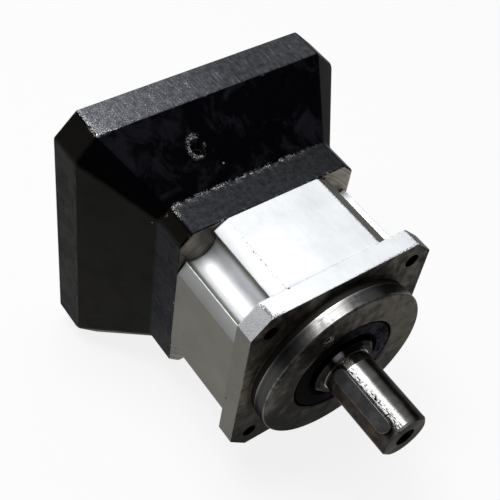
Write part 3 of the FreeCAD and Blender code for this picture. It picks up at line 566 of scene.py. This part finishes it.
    # painted shade: darker towards the bottom
    shadedBelow = put("MapRange", span(here["z"], steel["shadedBelowMm"], steel["belowShade"]))
    for shade in (ringShade, mottle, shadedBelow):
        stainedAndShaded = put("VectorMath", {0: stainedAndShaded, "Scale": shade}, "SCALE")
    base = put("Mix", {0: front, 6: base, 7: stainedAndShaded}, data_type="RGBA")

    # painted shade: the drilled bolt holes are darkened inside
    hole = put("Math", {0: fromHole, 1: steel["boltHoleRadiusMm"]}, "LESS_THAN")
    base = put("Mix", {0: hole, 6: base, 7: steel["bore"]}, data_type="RGBA")

    rough = put("Mix", {0: pilot, 2: steel["milledRoughness"], 3: steel["pilotRoughness"]})
    rough = put("Mix", {0: front, 2: rough, 3: steel["stainedRoughness"]})
    ripple = put("MapRange", span(grain, noiseSpan, steel["ripple"]))
    rough = put("Math", {0: rough, 1: ripple}, "ADD")
    step = put("Math", {0: here["x"], 1: steel["flangeBackMm"]}, "SUBTRACT")
    step = put("Math", {0: step}, "ABSOLUTE")
    step = put("MapRange", span(step, steel["stepMm"]))
    step = put("Math", {0: step, 1: litTop}, "MULTIPLY")
    metal = 1.0
    for mask, share in ((front, "stainedMetal"), (flute, "fluteMetal"), (step, "stepMetal")):
        metal = put("Mix", {0: mask, 2: metal, 3: steel[share]})
    height = put("Mix", {0: front, 2: put("Mix", {0: pilot, 2: grain, 3: lines}), 3: rings})
    bump = put("Bump", {"Height": height, "Strength": steel["reliefStrength"],
                        "Distance": steel["reliefMm"] * mm})
    feed(shader, {"Base Color": base, "Roughness": rough, "Metallic": metal, "Normal": bump,
                  "Specular IOR Level": steel["glossLevel"], "Specular Tint": steel["glancing"]})
    return material


# Motor adapter: a casting under black enamel, brushed thin over its sawn rim and neck, where the metal
# sparkles through, thick and nearly black on the slopes, and machined bare where it meets the housing and
# the motor.
enamel = {
    "name": "blackEnamelOnCasting",
    "paint": "#020204",
    "smudge": "#141419",
    "sideDust": "#1c1b17",
    "edgeHighlightColour": "#45443f",
    "thin": "#3f4044",
    "fleck": "#d6d9dd",
    "bare": "#e4e4e2",
    "machinedLight": "#a9a399",
    "machinedDark": "#625c53",
    "thread": "#403d39",
    "glossLevel": 0.03,
    "paintRoughness": 0.42,
    "smudgeRoughness": 0.12,
    "thinRoughness": 0.5,
    "metalRoughness": 0.38,
    "reliefMm": 0.08,
    "reliefStrength": 0.6,
    "smudgeHeight": 0.4,
    "facesSquare": (0.93, 0.98),  # how a face lies, by its normal: square, on a cut corner, and so on
    "facesCorner": (0.45, 0.3),
    "facesOut": (-0.5, -0.3),
    "facesSide": (0.62, 0.8),
    "facesUp": (0.2, 0.8),
    "facesEnd": (0.86, 0.95),
    "upOnFlat": 0.9,
    "upOnCorner": 0.75,
    "upOnSlope": 0.7,
    "smudgeMm": 13.0,
    "smudgeSpread": (0.49, 0.66),
    "greasyMm": (-10.0, -55.0),
    "grease": 0.06,
    "roundingStarts": (0.06, 0.2),  # along X: a painted highlight lies on the rounded edge between the rim and the slopes
    "roundingEnds": (0.53, 0.42),
    "roundingBeforeMm": -90.5,
    "edgeHighlightPatches": (0.36, 0.62),
    "edgeHighlightLeast": 0.1,
    "chipSpacingMm": 14.0,
    "chipSize": (0.03, 0.02),
    "sawMm": 0.5,  # a fine saw's lines, drawn coarser so that they show
    "sawStretch": (0.06, 1.0, 1.0),
    "fleckMm": 0.58,  # coarser than the true grit, which would not show
    "fleckSpread": (0.58, 0.63),
    "sparkle": (0.5, 0.6),
    "patchMm": 2.6,
    "patchSpread": (0.44, 0.60),
    "patchShade": (0.62, 1.45),
    "thinSpread": (0.35, 0.6),
    "thinShade": (0.5, 1.15),
    "rimAtMm": (-94.5, -96.5),
    "rimAlongMm": (-55.0, 15.0),  # from the near end of the upper rim to past its middle
    "rimPaintedLight": (2.75, 0.96),
    "rimGrit": (0.9, 0.42),
    "rimFlecks": (0.85, 0.1),
    "otherGrit": 0.8,
    "otherFlecks": 0.05,
    "neckAlongMm": (-35.0, 35.0),
    "neckPaintedLight": (0.66, 0.37),
    "sidePaintedLight": (0.42, 0.25),
    "wearWidthMm": 2.0,
    "wearPatchMm": 3.0,
    "wearPatchy": (0.54, 0.72),
    "neckEndMm": -65.6,
    "footMm": (0.9, 0.3),
    "footHazeMm": (2.6, 0.0),
    "footHaze": 0.3,
    "footEndMm": (32.0, 18.0),
    "cutEdgeMm": (38.6, 54.6),  # where the cut corners start, on the neck and on the rim
    "cutWearMm": (2.6, 0.4),
    "cutFadeMm": (-57.0, -65.0),
    "plugAtMm": (-80.5, -17.0, 0.0),
    "plugWearMm": (5.4, 3.0),
    "plugWearTowards": (-0.42, -0.91, 0.0),
    "plugWearSide": (-0.3, 0.35),
    "cornerAtMm": (-96.0, -54.6, 65.0),
    "cornerWearMm": (8.0, 0.5),
    "turningMm": 0.7,  # coarser than the true feed
    "turningShare": 0.5,
    "turningSpread": (0.38, 0.60),
    "oilyMm": (-60.0, -55.0),
    "oilShade": (1.0, 0.58),
    "threadAtMm": 51.27,
    "threadRadiusMm": 4.4,
    "threadFromMm": -90.0,
    "threadPitchMm": 1.25,
    "threadHeight": 8.0,
}


def makeEnamel(paint):
    material, put, shader = startFinish(paint["name"])
    here = surfaceSpace(put)
    sides = put("CombineXYZ", {"Y": here["facesY"], "Z": here["facesZ"]})
    sides = put("SeparateXYZ", {0: put("VectorMath", {0: sides}, "ABSOLUTE")}).outputs
    flat = put("Math", {0: sides["Y"], 1: sides["Z"]}, "MAXIMUM")
    flat = put("MapRange", span(flat, paint["facesSquare"]), **soft)
    outer = put("MapRange", span(here["outward"], paint["facesOut"]))
    thin = put("Math", {0: flat, 1: outer}, "MULTIPLY")

    # thick paint: soft smudges, warm dust on the sides, a painted highlight on their rounded edge, pin-head
    # chips
    smudges = put("TexNoise", {"Vector": here["place"], "Scale": 1 / paint["smudgeMm"], "Detail": 7.0,
                               "Roughness": 0.7, "Distortion": 0.8})
    greasy = put("MapRange", span(here["y"], paint["greasyMm"], (0.0, paint["grease"])))
    smudge = put("Math", {0: smudges, 1: greasy}, "ADD")
    smudge = put("MapRange", span(smudge, paint["smudgeSpread"]), **soft)
    facet = put("Math", {0: sides["Y"], 1: sides["Z"]}, "MINIMUM")
    facet = put("MapRange", span(facet, paint["facesCorner"]))
    smudge = put("Math", {0: smudge, 1: facet}, "MULTIPLY")
    base = put("Mix", {0: smudge, 6: paint["paint"], 7: paint["smudge"]}, data_type="RGBA")
    dusty = put("MapRange", span(sides["Y"], paint["facesSide"]))
    base = put("Mix", {0: dusty, 6: base, 7: paint["sideDust"]}, data_type="RGBA")
    # painted highlight on the rounded edge between the rim and the slopes, on the sides
    roundedEdgeHighlight = put("MapRange", span(here["facesX"], paint["roundingStarts"]))
    beforeSlope = put("MapRange", span(here["facesX"], paint["roundingEnds"]))
    edgeHighlightPatches = put("MapRange", span(smudges, paint["edgeHighlightPatches"], (paint["edgeHighlightLeast"], 1.0)))
    onPlate = put("Math", {0: here["x"], 1: paint["roundingBeforeMm"]}, "LESS_THAN")
    for mask in (beforeSlope, dusty, facet, edgeHighlightPatches, onPlate):
        roundedEdgeHighlight = put("Math", {0: roundedEdgeHighlight, 1: mask}, "MULTIPLY")
    chips = put("TexVoronoi", {"Vector": here["place"], "Scale": 1 / paint["chipSpacingMm"]})
    chip = put("MapRange", span(chips, paint["chipSize"]))

    # thin paint: fine saw lines and flecks of metal, most at the near end of the upper rim; painted light
    # makes it lighter on the tops than on the sides and towards the near end of the rim and of the neck
    sawn = put("VectorMath", {0: here["place"], 1: paint["sawStretch"]}, "MULTIPLY")
    saw = put("TexNoise", {"Vector": sawn, "Scale": 1 / paint["sawMm"], "Detail": 2.0})
    specks = put("TexNoise", {"Vector": here["place"], "Scale": 1 / paint["fleckMm"], "Detail": 3.0,
                              "Roughness": 0.75})
    patches = put("TexNoise", {"Vector": here["place"], "Scale": 1 / paint["patchMm"], "Detail": 4.0})
    rim = put("MapRange", span(here["x"], paint["rimAtMm"]))
    upper = put("MapRange", span(here["facesZ"], paint["facesUp"]))
    upperRim = put("Math", {0: rim, 1: upper}, "MULTIPLY")
    rimPaintedLight = put("MapRange", span(here["y"], paint["rimAlongMm"], paint["rimPaintedLight"]))
    rimGrit = put("MapRange", span(here["y"], paint["rimAlongMm"], paint["rimGrit"]))
    grit = put("Mix", {0: upperRim, 2: paint["otherGrit"], 3: rimGrit})
    both = put("Mix", {0: grit, 2: saw, 3: specks})
    neckPaintedLight = put("MapRange", span(here["y"], paint["neckAlongMm"], paint["neckPaintedLight"]))
    sidePaintedLight = put("Mix", {0: rim, 2: paint["sidePaintedLight"][0], 3: paint["sidePaintedLight"][1]})
    # painted light: the thin paint lighter on the tops than on the sides, and towards the near end
    light = put("Mix", {0: upper, 2: sidePaintedLight, 3: neckPaintedLight})
    light = put("Mix", {0: upperRim, 2: light, 3: rimPaintedLight})
    fleckShare = put("MapRange", span(grit, paint["rimGrit"], paint["rimFlecks"]))
    fleckShare = put("Math", {0: upperRim, 1: fleckShare, 2: paint["otherFlecks"]}, "MULTIPLY_ADD")
    fleck = put("MapRange", span(both, paint["fleckSpread"]), **soft)
    for mask in (fleckShare, light, thin):
        fleck = put("Math", {0: fleck, 1: mask}, "MULTIPLY")
    thinShade = put("MapRange", span(both, paint["thinSpread"], paint["thinShade"]))
    uneven = put("MapRange", span(patches, noiseSpan, paint["patchShade"]))
    thinColour = linear(paint["thin"])[:3]
    for shade in (thinShade, light, uneven):
        thinColour = put("VectorMath", {0: thinColour, "Scale": shade}, "SCALE")
    for mask, colour in ((thin, thinColour), (fleck, paint["fleck"]), (roundedEdgeHighlight, paint["edgeHighlightColour"])):
        base = put("Mix", {0: mask, 6: base, 7: colour}, data_type="RGBA")

    # bare places, in sparkling patches: handled edges, the foot of the top slope, the cut corners' edges, one
    # side of the plug's hole and the corner that was knocked
    flatTop, cornerTop, slopeTop = (
        put("Math", {0: here["facesZ"], 1: paint[least]}, "GREATER_THAN")
        for least in ("upOnFlat", "upOnCorner", "upOnSlope"))
    fromNeck = put("Math", {0: here["x"], 1: paint["neckEndMm"]}, "SUBTRACT")
    onNeck = put("Math", {0: fromNeck, 1: 0.0}, "GREATER_THAN")
    haze = put("MapRange", span(fromNeck, paint["footHazeMm"], (0.0, paint["footHaze"])))
    haze = put("Math", {0: haze, 1: onNeck}, "MULTIPLY")
    foot = put("Math", {0: fromNeck}, "ABSOLUTE")
    foot = put("MapRange", span(foot, paint["footMm"]))
    foot = put("Math", {0: foot, 1: haze}, "MAXIMUM")
    fade = put("MapRange", span(here["y"], paint["footEndMm"]))
    patchy = put("MapRange", span(patches, paint["patchSpread"]), **soft)
    for mask in (slopeTop, fade, patchy):
        foot = put("Math", {0: foot, 1: mask}, "MULTIPLY")
    cutEdge = put("Mix", {0: rim, 2: paint["cutEdgeMm"][0], 3: paint["cutEdgeMm"][1]})
    cutEdge = put("Math", {0: here["y"], 1: cutEdge}, "ADD")
    cutEdge = put("Math", {0: cutEdge}, "ABSOLUTE")
    cutEdge = put("MapRange", span(cutEdge, paint["cutWearMm"]), **soft)
    toCorner = put("MapRange", span(here["x"], paint["cutFadeMm"]))
    for mask in (flatTop, toCorner):
        cutEdge = put("Math", {0: cutEdge, 1: mask}, "MULTIPLY")
    fromPlug = put("VectorMath", {0: here["place"], 1: paint["plugAtMm"]}, "SUBTRACT")
    fromPlug = put("VectorMath", {0: fromPlug, 1: (1.0, 1.0, 0.0)}, "MULTIPLY")
    side = put("VectorMath", {0: put("VectorMath", {0: fromPlug}, "NORMALIZE"),
                              1: paint["plugWearTowards"]}, "DOT_PRODUCT")
    side = put("MapRange", span(side, paint["plugWearSide"]), **soft)
    ring = put("VectorMath", {0: fromPlug}, "LENGTH")
    ring = put("MapRange", span(ring, paint["plugWearMm"]), **soft)
    for mask in (side, slopeTop):
        ring = put("Math", {0: ring, 1: mask}, "MULTIPLY")
    fromCorner = put("VectorMath", {0: here["place"], 1: paint["cornerAtMm"]}, "DISTANCE")
    corner = put("MapRange", span(fromCorner, paint["cornerWearMm"]), **soft)
    for mask in (cornerTop, rim):
        corner = put("Math", {0: corner, 1: mask}, "MULTIPLY")
    bare = foot
    for more in (cutEdge, ring, corner):
        bare = put("Math", {0: bare, 1: more}, "MAXIMUM")
    sparkle = put("MapRange", span(specks, paint["sparkle"]), **soft)
    bare = put("Math", {0: bare, 1: sparkle}, "MULTIPLY")
    worn = edgeWear(put, here["place"], paint["wearWidthMm"], paint["wearPatchMm"], paint["wearPatchy"])
    for more in (worn, chip):
        bare = put("Math", {0: bare, 1: more}, "MAXIMUM")

    # machined: both ends and the bores, with stains and turning rings, and the motor's tapped holes
    ends = put("Math", {0: here["facesX"]}, "ABSOLUTE")
    ends = put("MapRange", span(ends, paint["facesEnd"]))
    bores = put("Math", {0: 1.0, 1: outer}, "SUBTRACT")
    machined = put("Math", {0: ends, 1: bores}, "MAXIMUM")
    turned = put("CombineXYZ", {"X": here["radius"], "Y": here["x"]})
    rings = put("TexNoise", {"Vector": turned, "Scale": 1 / paint["turningMm"], "Detail": 2.0})
    cut = put("Mix", {0: paint["turningShare"], 2: smudges, 3: rings})
    cut = put("MapRange", span(cut, paint["turningSpread"]))
    cutColour = put("Mix", {0: cut, 6: paint["machinedDark"], 7: paint["machinedLight"]}, data_type="RGBA")
    oily = put("MapRange", span(here["x"], paint["oilyMm"], paint["oilShade"]))
    cutColour = put("VectorMath", {0: cutColour, "Scale": oily}, "SCALE")
    fromHole = fromHoles(put, here["place"], paint["threadAtMm"])
    hole = put("Math", {0: fromHole, 1: paint["threadRadiusMm"]}, "LESS_THAN")
    inPlate = put("Math", {0: here["x"], 1: paint["threadFromMm"]}, "LESS_THAN")
    hole = put("Math", {0: hole, 1: inPlate}, "MULTIPLY")
    thread = threadRelief(put, here["x"], paint["threadPitchMm"], paint["threadHeight"])
    for mask, colour in ((bare, paint["bare"]), (machined, cutColour), (hole, paint["thread"])):
        base = put("Mix", {0: mask, 6: base, 7: colour}, data_type="RGBA")

    metal = bare
    for more in (fleck, machined, hole):
        metal = put("Math", {0: metal, 1: more}, "MAXIMUM")
    rough = put("Mix", {0: thin, 2: paint["paintRoughness"], 3: paint["thinRoughness"]})
    rough = put("Math", {0: smudge, 1: paint["smudgeRoughness"], 2: rough}, "MULTIPLY_ADD")
    rough = put("Mix", {0: metal, 2: rough, 3: paint["metalRoughness"]})
    height = put("Math", {0: smudges, 1: paint["smudgeHeight"]}, "MULTIPLY")
    for mask, relief in ((thin, both), (machined, rings), (hole, thread)):
        height = put("Mix", {0: mask, 2: height, 3: relief})
    bump = put("Bump", {"Height": height, "Strength": paint["reliefStrength"],
                        "Distance": paint["reliefMm"] * mm})
    feed(shader, {"Base Color": base, "Metallic": metal, "Roughness": rough, "Normal": bump,
                  "Specular IOR Level": paint["glossLevel"]})
    return material


# Output shaft: hardened steel, ground round, dark with old oil, with a painted highlight streak along one
# side that brightens towards the collar, scuffed along its length where hubs slid on
shaftSteel = {
    "name": "groundShaftSteel",
    "paintedHighlight": "#a6a6a4",
    "rootHighlight": "#f2f2f0",
    "oiled": "#37332f",
    "relief": "#a8a49e",
    "scuff": "#141311",
    "collarDark": "#0d0c0b",
    "collarLight": "#322f2c",
    "endFace": "#4a4743",
    "thread": "#0d0c0b",
    "glancing": "#bcbcbc",
    "roughness": 0.38,
    "reliefRoughness": 0.125,
    "collarRoughness": 0.11,
    "endRoughness": 0.42,
    "scuffRoughness": 0.25,
    "stretchOfStreak": 0.9,
    "streakTurn": 0.25,  # of a whole turn, so that the streak runs along the shaft
    "grindMm": 0.4,  # the true marks of the wheel are too fine to show
    "grindSpread": (0.35, 0.65),
    "grindShade": (0.88, 1.1),
    "grindDepthMm": 0.02,
    "grindStrength": 0.3,
    "blotMm": 5.0,
    "oilSpread": (0.36, 0.64),
    "oilShade": (0.6, 1.6),
    "highlightSide": (0.0, -0.26, 0.966),
    "highlightBlots": 0.15,
    "highlightSpread": (0.89, 1.09),
    "rootHighlightMm": (27.0, 16.0),  # the painted highlight brightens towards the collar
    "reliefEndMm": (16.65, 16.45),
    "scuffMm": 0.6,
    "scuffStretch": (0.45, 1.0, 1.0),
    "scuffBlots": 0.5,
    "scuffSpread": (0.74, 0.82),
    "scuffAndGlintSide": (0.0, -0.469, 0.883),  # beside the key, where hubs bind, and where the collar keeps a painted glint
    "scuffAndGlintWidth": (0.982, 0.998),
    "scuffFromMm": 17.0,
    "scuffHeight": -1.5,
    "collarRadiusMm": 11.3,
    "collarRingMm": 0.9,  # coarser than the true feed
    "collarRings": (0.40, 0.60),
    "tipMm": 49.0,
    "threadRadiusMm": 4.8,
    "threadPitchMm": 1.25,
    "threadHeight": 12.0,
}


def makeShaftSteel(steel):
    material, put, shader = startFinish(steel["name"])
    here = surfaceSpace(put)
    ground = put("CombineXYZ", {"X": here["x"], "Y": here["radius"]})
    grind = put("TexNoise", {"Vector": ground, "Scale": 1 / steel["grindMm"], "Detail": 3.0})
    blots = put("TexNoise", {"Vector": here["place"], "Scale": 1 / steel["blotMm"], "Detail": 5.0,
                             "Roughness": 0.6})
    # painted highlight: a lighter streak along one side of the shaft, brightest towards the collar
    paintedHighlight, scuffAndGlintBand = (
        put("VectorMath", {0: here["spoke"], 1: steel[side]}, "DOT_PRODUCT")
        for side in ("highlightSide", "scuffAndGlintSide"))
    paintedHighlight = put("Math", {0: blots, 1: steel["highlightBlots"], 2: paintedHighlight}, "MULTIPLY_ADD")
    paintedHighlight = put("MapRange", span(paintedHighlight, steel["highlightSpread"]), **soft)
    oil = put("MapRange", span(blots, steel["oilSpread"], steel["oilShade"]))
    oiled = put("VectorMath", {0: linear(steel["oiled"])[:3], "Scale": oil}, "SCALE")
    rootHighlight = put("MapRange", span(here["x"], steel["rootHighlightMm"]))
    streakHighlight = put("Mix", {0: rootHighlight, 6: steel["paintedHighlight"], 7: steel["rootHighlight"]}, data_type="RGBA")
    # the grinding relief at the foot: no hub reaches it, so it is smooth and mirrors the dark round it
    collar = put("Math", {0: here["radius"], 1: steel["collarRadiusMm"]}, "GREATER_THAN")
    relief = put("MapRange", span(here["x"], steel["reliefEndMm"]))
    relief = put("Math", {0: relief, 1: collar}, "SUBTRACT", use_clamp=True)
    base = oiled
    for mask, colour in ((paintedHighlight, streakHighlight), (relief, steel["relief"])):
        base = put("Mix", {0: mask, 6: base, 7: colour}, data_type="RGBA")
    shade = put("MapRange", span(grind, steel["grindSpread"], steel["grindShade"]))
    base = put("VectorMath", {0: base, "Scale": shade}, "SCALE")

    # scuffs beside the key
    drawn = put("VectorMath", {0: here["place"], 1: steel["scuffStretch"]}, "MULTIPLY")
    scuffs = put("TexNoise", {"Vector": drawn, "Scale": 1 / steel["scuffMm"], "Detail": 3.0,
                              "Roughness": 0.7})
    scuff = put("Math", {0: blots, 1: steel["scuffBlots"], 2: scuffs}, "MULTIPLY_ADD")
    scuff = put("MapRange", span(scuff, steel["scuffSpread"]), **soft)
    scuffAndGlintBand = put("MapRange", span(scuffAndGlintBand, steel["scuffAndGlintWidth"]))
    reached = put("Math", {0: here["x"], 1: steel["scuffFromMm"]}, "GREATER_THAN")
    for mask in (scuffAndGlintBand, reached):
        scuff = put("Math", {0: scuff, 1: mask}, "MULTIPLY")

    # the collar's rings, darkened except for a painted glint along one side, the faced end and the tapped
    # hole in it
    rings = put("TexNoise", {"Vector": put("CombineXYZ", {"X": here["radius"]}),
                             "Scale": 1 / steel["collarRingMm"], "Detail": 2.0})
    ringTone = put("MapRange", span(rings, steel["collarRings"]))
    collarColour = put("Mix", {0: ringTone, 6: steel["collarDark"], 7: steel["collarLight"]},
                       data_type="RGBA")
    # painted glint: the collar keeps the streak's colour along one side and is darkened elsewhere
    collarDarkOutsideGlint = put("Math", {0: 1.0, 1: scuffAndGlintBand}, "SUBTRACT")
    collarDarkOutsideGlint = put("Math", {0: collar, 1: collarDarkOutsideGlint}, "MULTIPLY")
    ends = put("Math", {0: here["x"], 1: steel["tipMm"]}, "GREATER_THAN")
    faced = linear(steel["endFace"])[:3]
    faced = put("VectorMath", {0: faced, "Scale": shade}, "SCALE")
    # painted shade: the tapped hole is darkened inside
    hole = put("Math", {0: here["radius"], 1: steel["threadRadiusMm"]}, "LESS_THAN")
    hole = put("Math", {0: hole, 1: ends}, "SUBTRACT", use_clamp=True)
    thread = threadRelief(put, here["x"], steel["threadPitchMm"], steel["threadHeight"])
    for mask, colour in ((scuff, steel["scuff"]), (collarDarkOutsideGlint, collarColour), (ends, faced),
                         (hole, steel["thread"])):
        base = put("Mix", {0: mask, 6: base, 7: colour}, data_type="RGBA")

    rough = steel["roughness"]
    for mask, other in ((relief, "reliefRoughness"), (collar, "collarRoughness"), (ends, "endRoughness")):
        rough = put("Mix", {0: mask, 2: rough, 3: steel[other]})
    rough = put("Math", {0: scuff, 1: steel["scuffRoughness"], 2: rough}, "MULTIPLY_ADD")
    height = put("Math", {0: scuff, 1: steel["scuffHeight"], 2: grind}, "MULTIPLY_ADD")
    height = put("Mix", {0: hole, 2: height, 3: thread})
    bump = put("Bump", {"Height": height, "Strength": steel["grindStrength"],
                        "Distance": steel["grindDepthMm"] * mm})
    aroundAxis = put("Tangent", direction_type="RADIAL", axis="X")
    feed(shader, {"Base Color": base, "Roughness": rough, "Normal": bump, "Metallic": 1.0,
                  "Specular Tint": steel["glancing"], "Anisotropic": steel["stretchOfStreak"],
                  "Anisotropic Rotation": steel["streakTurn"], "Tangent": aroundAxis})
    return material


# Metals of the key, the plugs, the screws and the works inside, all made alike: a grain that runs one way and
# is drawn coarse enough to show, faint stains, edges rubbed bright; on the key that edge line is a painted
# highlight
workedMetal = {
    "stretch": (1.0, 0.1, 0.1),
    "edgeMm": 0.3,
    "edgePatchy": (0.36, 0.5),
    "stainShare": 0.5,
    "toneSpread": (0.38, 0.62),
    "roughnessSpread": (-0.06, 0.08),
    "grainStrength": 0.25,
    "grainDepthMm": 0.02,
}
# the key's near-white edge line is a painted highlight along its edges
keySteel = {"name": "drawnKeySteel", "dark": "#515152", "light": "#656565", "edge": "#efece8",
            "roughness": 0.5, "grainMm": 0.5, "stretch": (0.2, 1.0, 1.0), "stainMm": 6.0, "edgeMm": 0.35,
            "edgePatchy": (0.2, 0.35)}
plugSteel = {"name": "rubbedPlugSteel", "dark": "#2b2b2c", "light": "#a9a9a7", "edge": "#d8d7d4",
             "roughness": 0.45, "grainMm": 0.7, "stretch": (1.0, 1.0, 1.0), "stainMm": 2.0, "edgeMm": 0.4}
gearSteel = {"name": "hardenedGearSteel", "dark": "#6f7073", "light": "#97989a", "edge": "#c6c6c6",
             "roughness": 0.3, "grainMm": 0.4, "stainMm": 9.0, "edgeMm": 0.4}
bearingSteel = {"name": "groundBearingSteel", "dark": "#a2a3a5", "light": "#c3c4c6", "edge": "#dcdcdc",
                "roughness": 0.16, "grainMm": 0.4, "stainMm": 12.0}
pressedSteel = {"name": "pressedSheetSteel", "dark": "#7d7a75", "light": "#9b9892", "edge": "#b9b6b0",
                "roughness": 0.38, "grainMm": 0.8, "stretch": (0.4, 1.0, 1.0), "stainMm": 5.0}
bearingBronze = {"name": "machinedBearingBronze", "dark": "#9a6a34", "light": "#c2924f", "edge": "#dcb877",
                 "roughness": 0.34, "grainMm": 0.4, "stainMm": 7.0}
blackOxide = {"name": "blackOxideSteel", "dark": "#141416", "light": "#232326", "edge": "#57575a",
              "roughness": 0.42, "grainMm": 0.6, "stretch": (1.0, 1.0, 1.0), "stainMm": 3.0, "edgeMm": 0.25}


def makeWorkedMetal(metal):
    metal = {**workedMetal, **metal}
    material, put, shader = startFinish(metal["name"])
    here = surfaceSpace(put)
    drawn = put("VectorMath", {0: here["place"], 1: metal["stretch"]}, "MULTIPLY")
    grain = put("TexNoise", {"Vector": drawn, "Scale": 1 / metal["grainMm"], "Detail": 3.0})
    stain = put("TexNoise", {"Vector": here["place"], "Scale": 1 / metal["stainMm"], "Detail": 5.0,
                             "Roughness": 0.6})
    tone = put("Mix", {0: metal["stainShare"], 2: grain, 3: stain})
    tone = put("MapRange", span(tone, metal["toneSpread"]))
    base = put("Mix", {0: tone, 6: metal["dark"], 7: metal["light"]}, data_type="RGBA")
    worn = edgeWear(put, here["place"], metal["edgeMm"], metal["stainMm"], metal["edgePatchy"])
    base = put("Mix", {0: worn, 6: base, 7: metal["edge"]}, data_type="RGBA")
    rough = [metal["roughness"] + more for more in metal["roughnessSpread"]]
    rough = put("MapRange", span(stain, noiseSpan, rough))
    bump = put("Bump", {"Height": grain, "Strength": metal["grainStrength"],
                        "Distance": metal["grainDepthMm"] * mm})
    feed(shader, {"Base Color": base, "Roughness": rough, "Normal": bump, "Metallic": 1.0})
    return material


# Shaft seals: moulded nitrile rubber, matt black, with grey dust on the flat that faces out
nitrile = {
    "name": "mouldedNitrileRubber",
    "rubber": "#040407",
    "dust": "#4a4a50",
    "glossLevel": 0.003,
    "roughness": 0.55,
    "dustRoughness": 0.75,
    "facesEnd": (0.9, 0.98),
    "dustMm": 3.5,
    "dustSpread": (0.35, 0.62),
    "dustFromMm": (-6.0, 14.0),  # little on the near side, more on the far one
    "dustShare": (0.05, 1.0),
    "grainMm": 0.35,  # coarser than the mould's, so that it shows
    "grainStrength": 0.25,
    "grainDepthMm": 0.03,
}


def makeNitrile(rubber):
    material, put, shader = startFinish(rubber["name"])
    here = surfaceSpace(put)
    level = put("Math", {0: here["facesX"]}, "ABSOLUTE")
    level = put("MapRange", span(level, rubber["facesEnd"]), **soft)
    clouds = put("TexNoise", {"Vector": here["place"], "Scale": 1 / rubber["dustMm"], "Detail": 6.0,
                              "Roughness": 0.65})
    dust = put("MapRange", span(clouds, rubber["dustSpread"]), **soft)
    far = put("MapRange", span(here["y"], rubber["dustFromMm"], rubber["dustShare"]))
    for mask in (far, level):
        dust = put("Math", {0: dust, 1: mask}, "MULTIPLY")
    base = put("Mix", {0: dust, 6: rubber["rubber"], 7: rubber["dust"]}, data_type="RGBA")
    rough = put("Mix", {0: dust, 2: rubber["roughness"], 3: rubber["dustRoughness"]})
    grain = put("TexNoise", {"Vector": here["place"], "Scale": 1 / rubber["grainMm"], "Detail": 2.0})
    bump = put("Bump", {"Height": grain, "Strength": rubber["grainStrength"],
                        "Distance": rubber["grainDepthMm"] * mm})
    feed(shader, {"Base Color": base, "Roughness": rough, "Normal": bump,
                  "Specular IOR Level": rubber["glossLevel"]})
    return material


finishes = {
    "machined_body": makeHousingSteel(housingSteel),
    "black_paint": makeEnamel(enamel),
    "ground_shaft": makeShaftSteel(shaftSteel),
    "key_steel": makeWorkedMetal(keySteel),
    "gear_steel": makeWorkedMetal(gearSteel),
    "bearing_steel": makeWorkedMetal(bearingSteel),
    "pressed_steel": makeWorkedMetal(pressedSteel),
    "bronze": makeWorkedMetal(bearingBronze),
    "black_oxide": makeWorkedMetal(blackOxide),
    "seal_rubber": makeNitrile(nitrile),
}
for row in frame["record"]["subparts"]:
    nodes[row["node"]].material_slots[0].material = finishes[row["material_slot"]]
nodes["grease_plug"].material_slots[0].material = makeWorkedMetal(plugSteel)  # it has lost its black
print("finishes:", len(finishes) + 1)
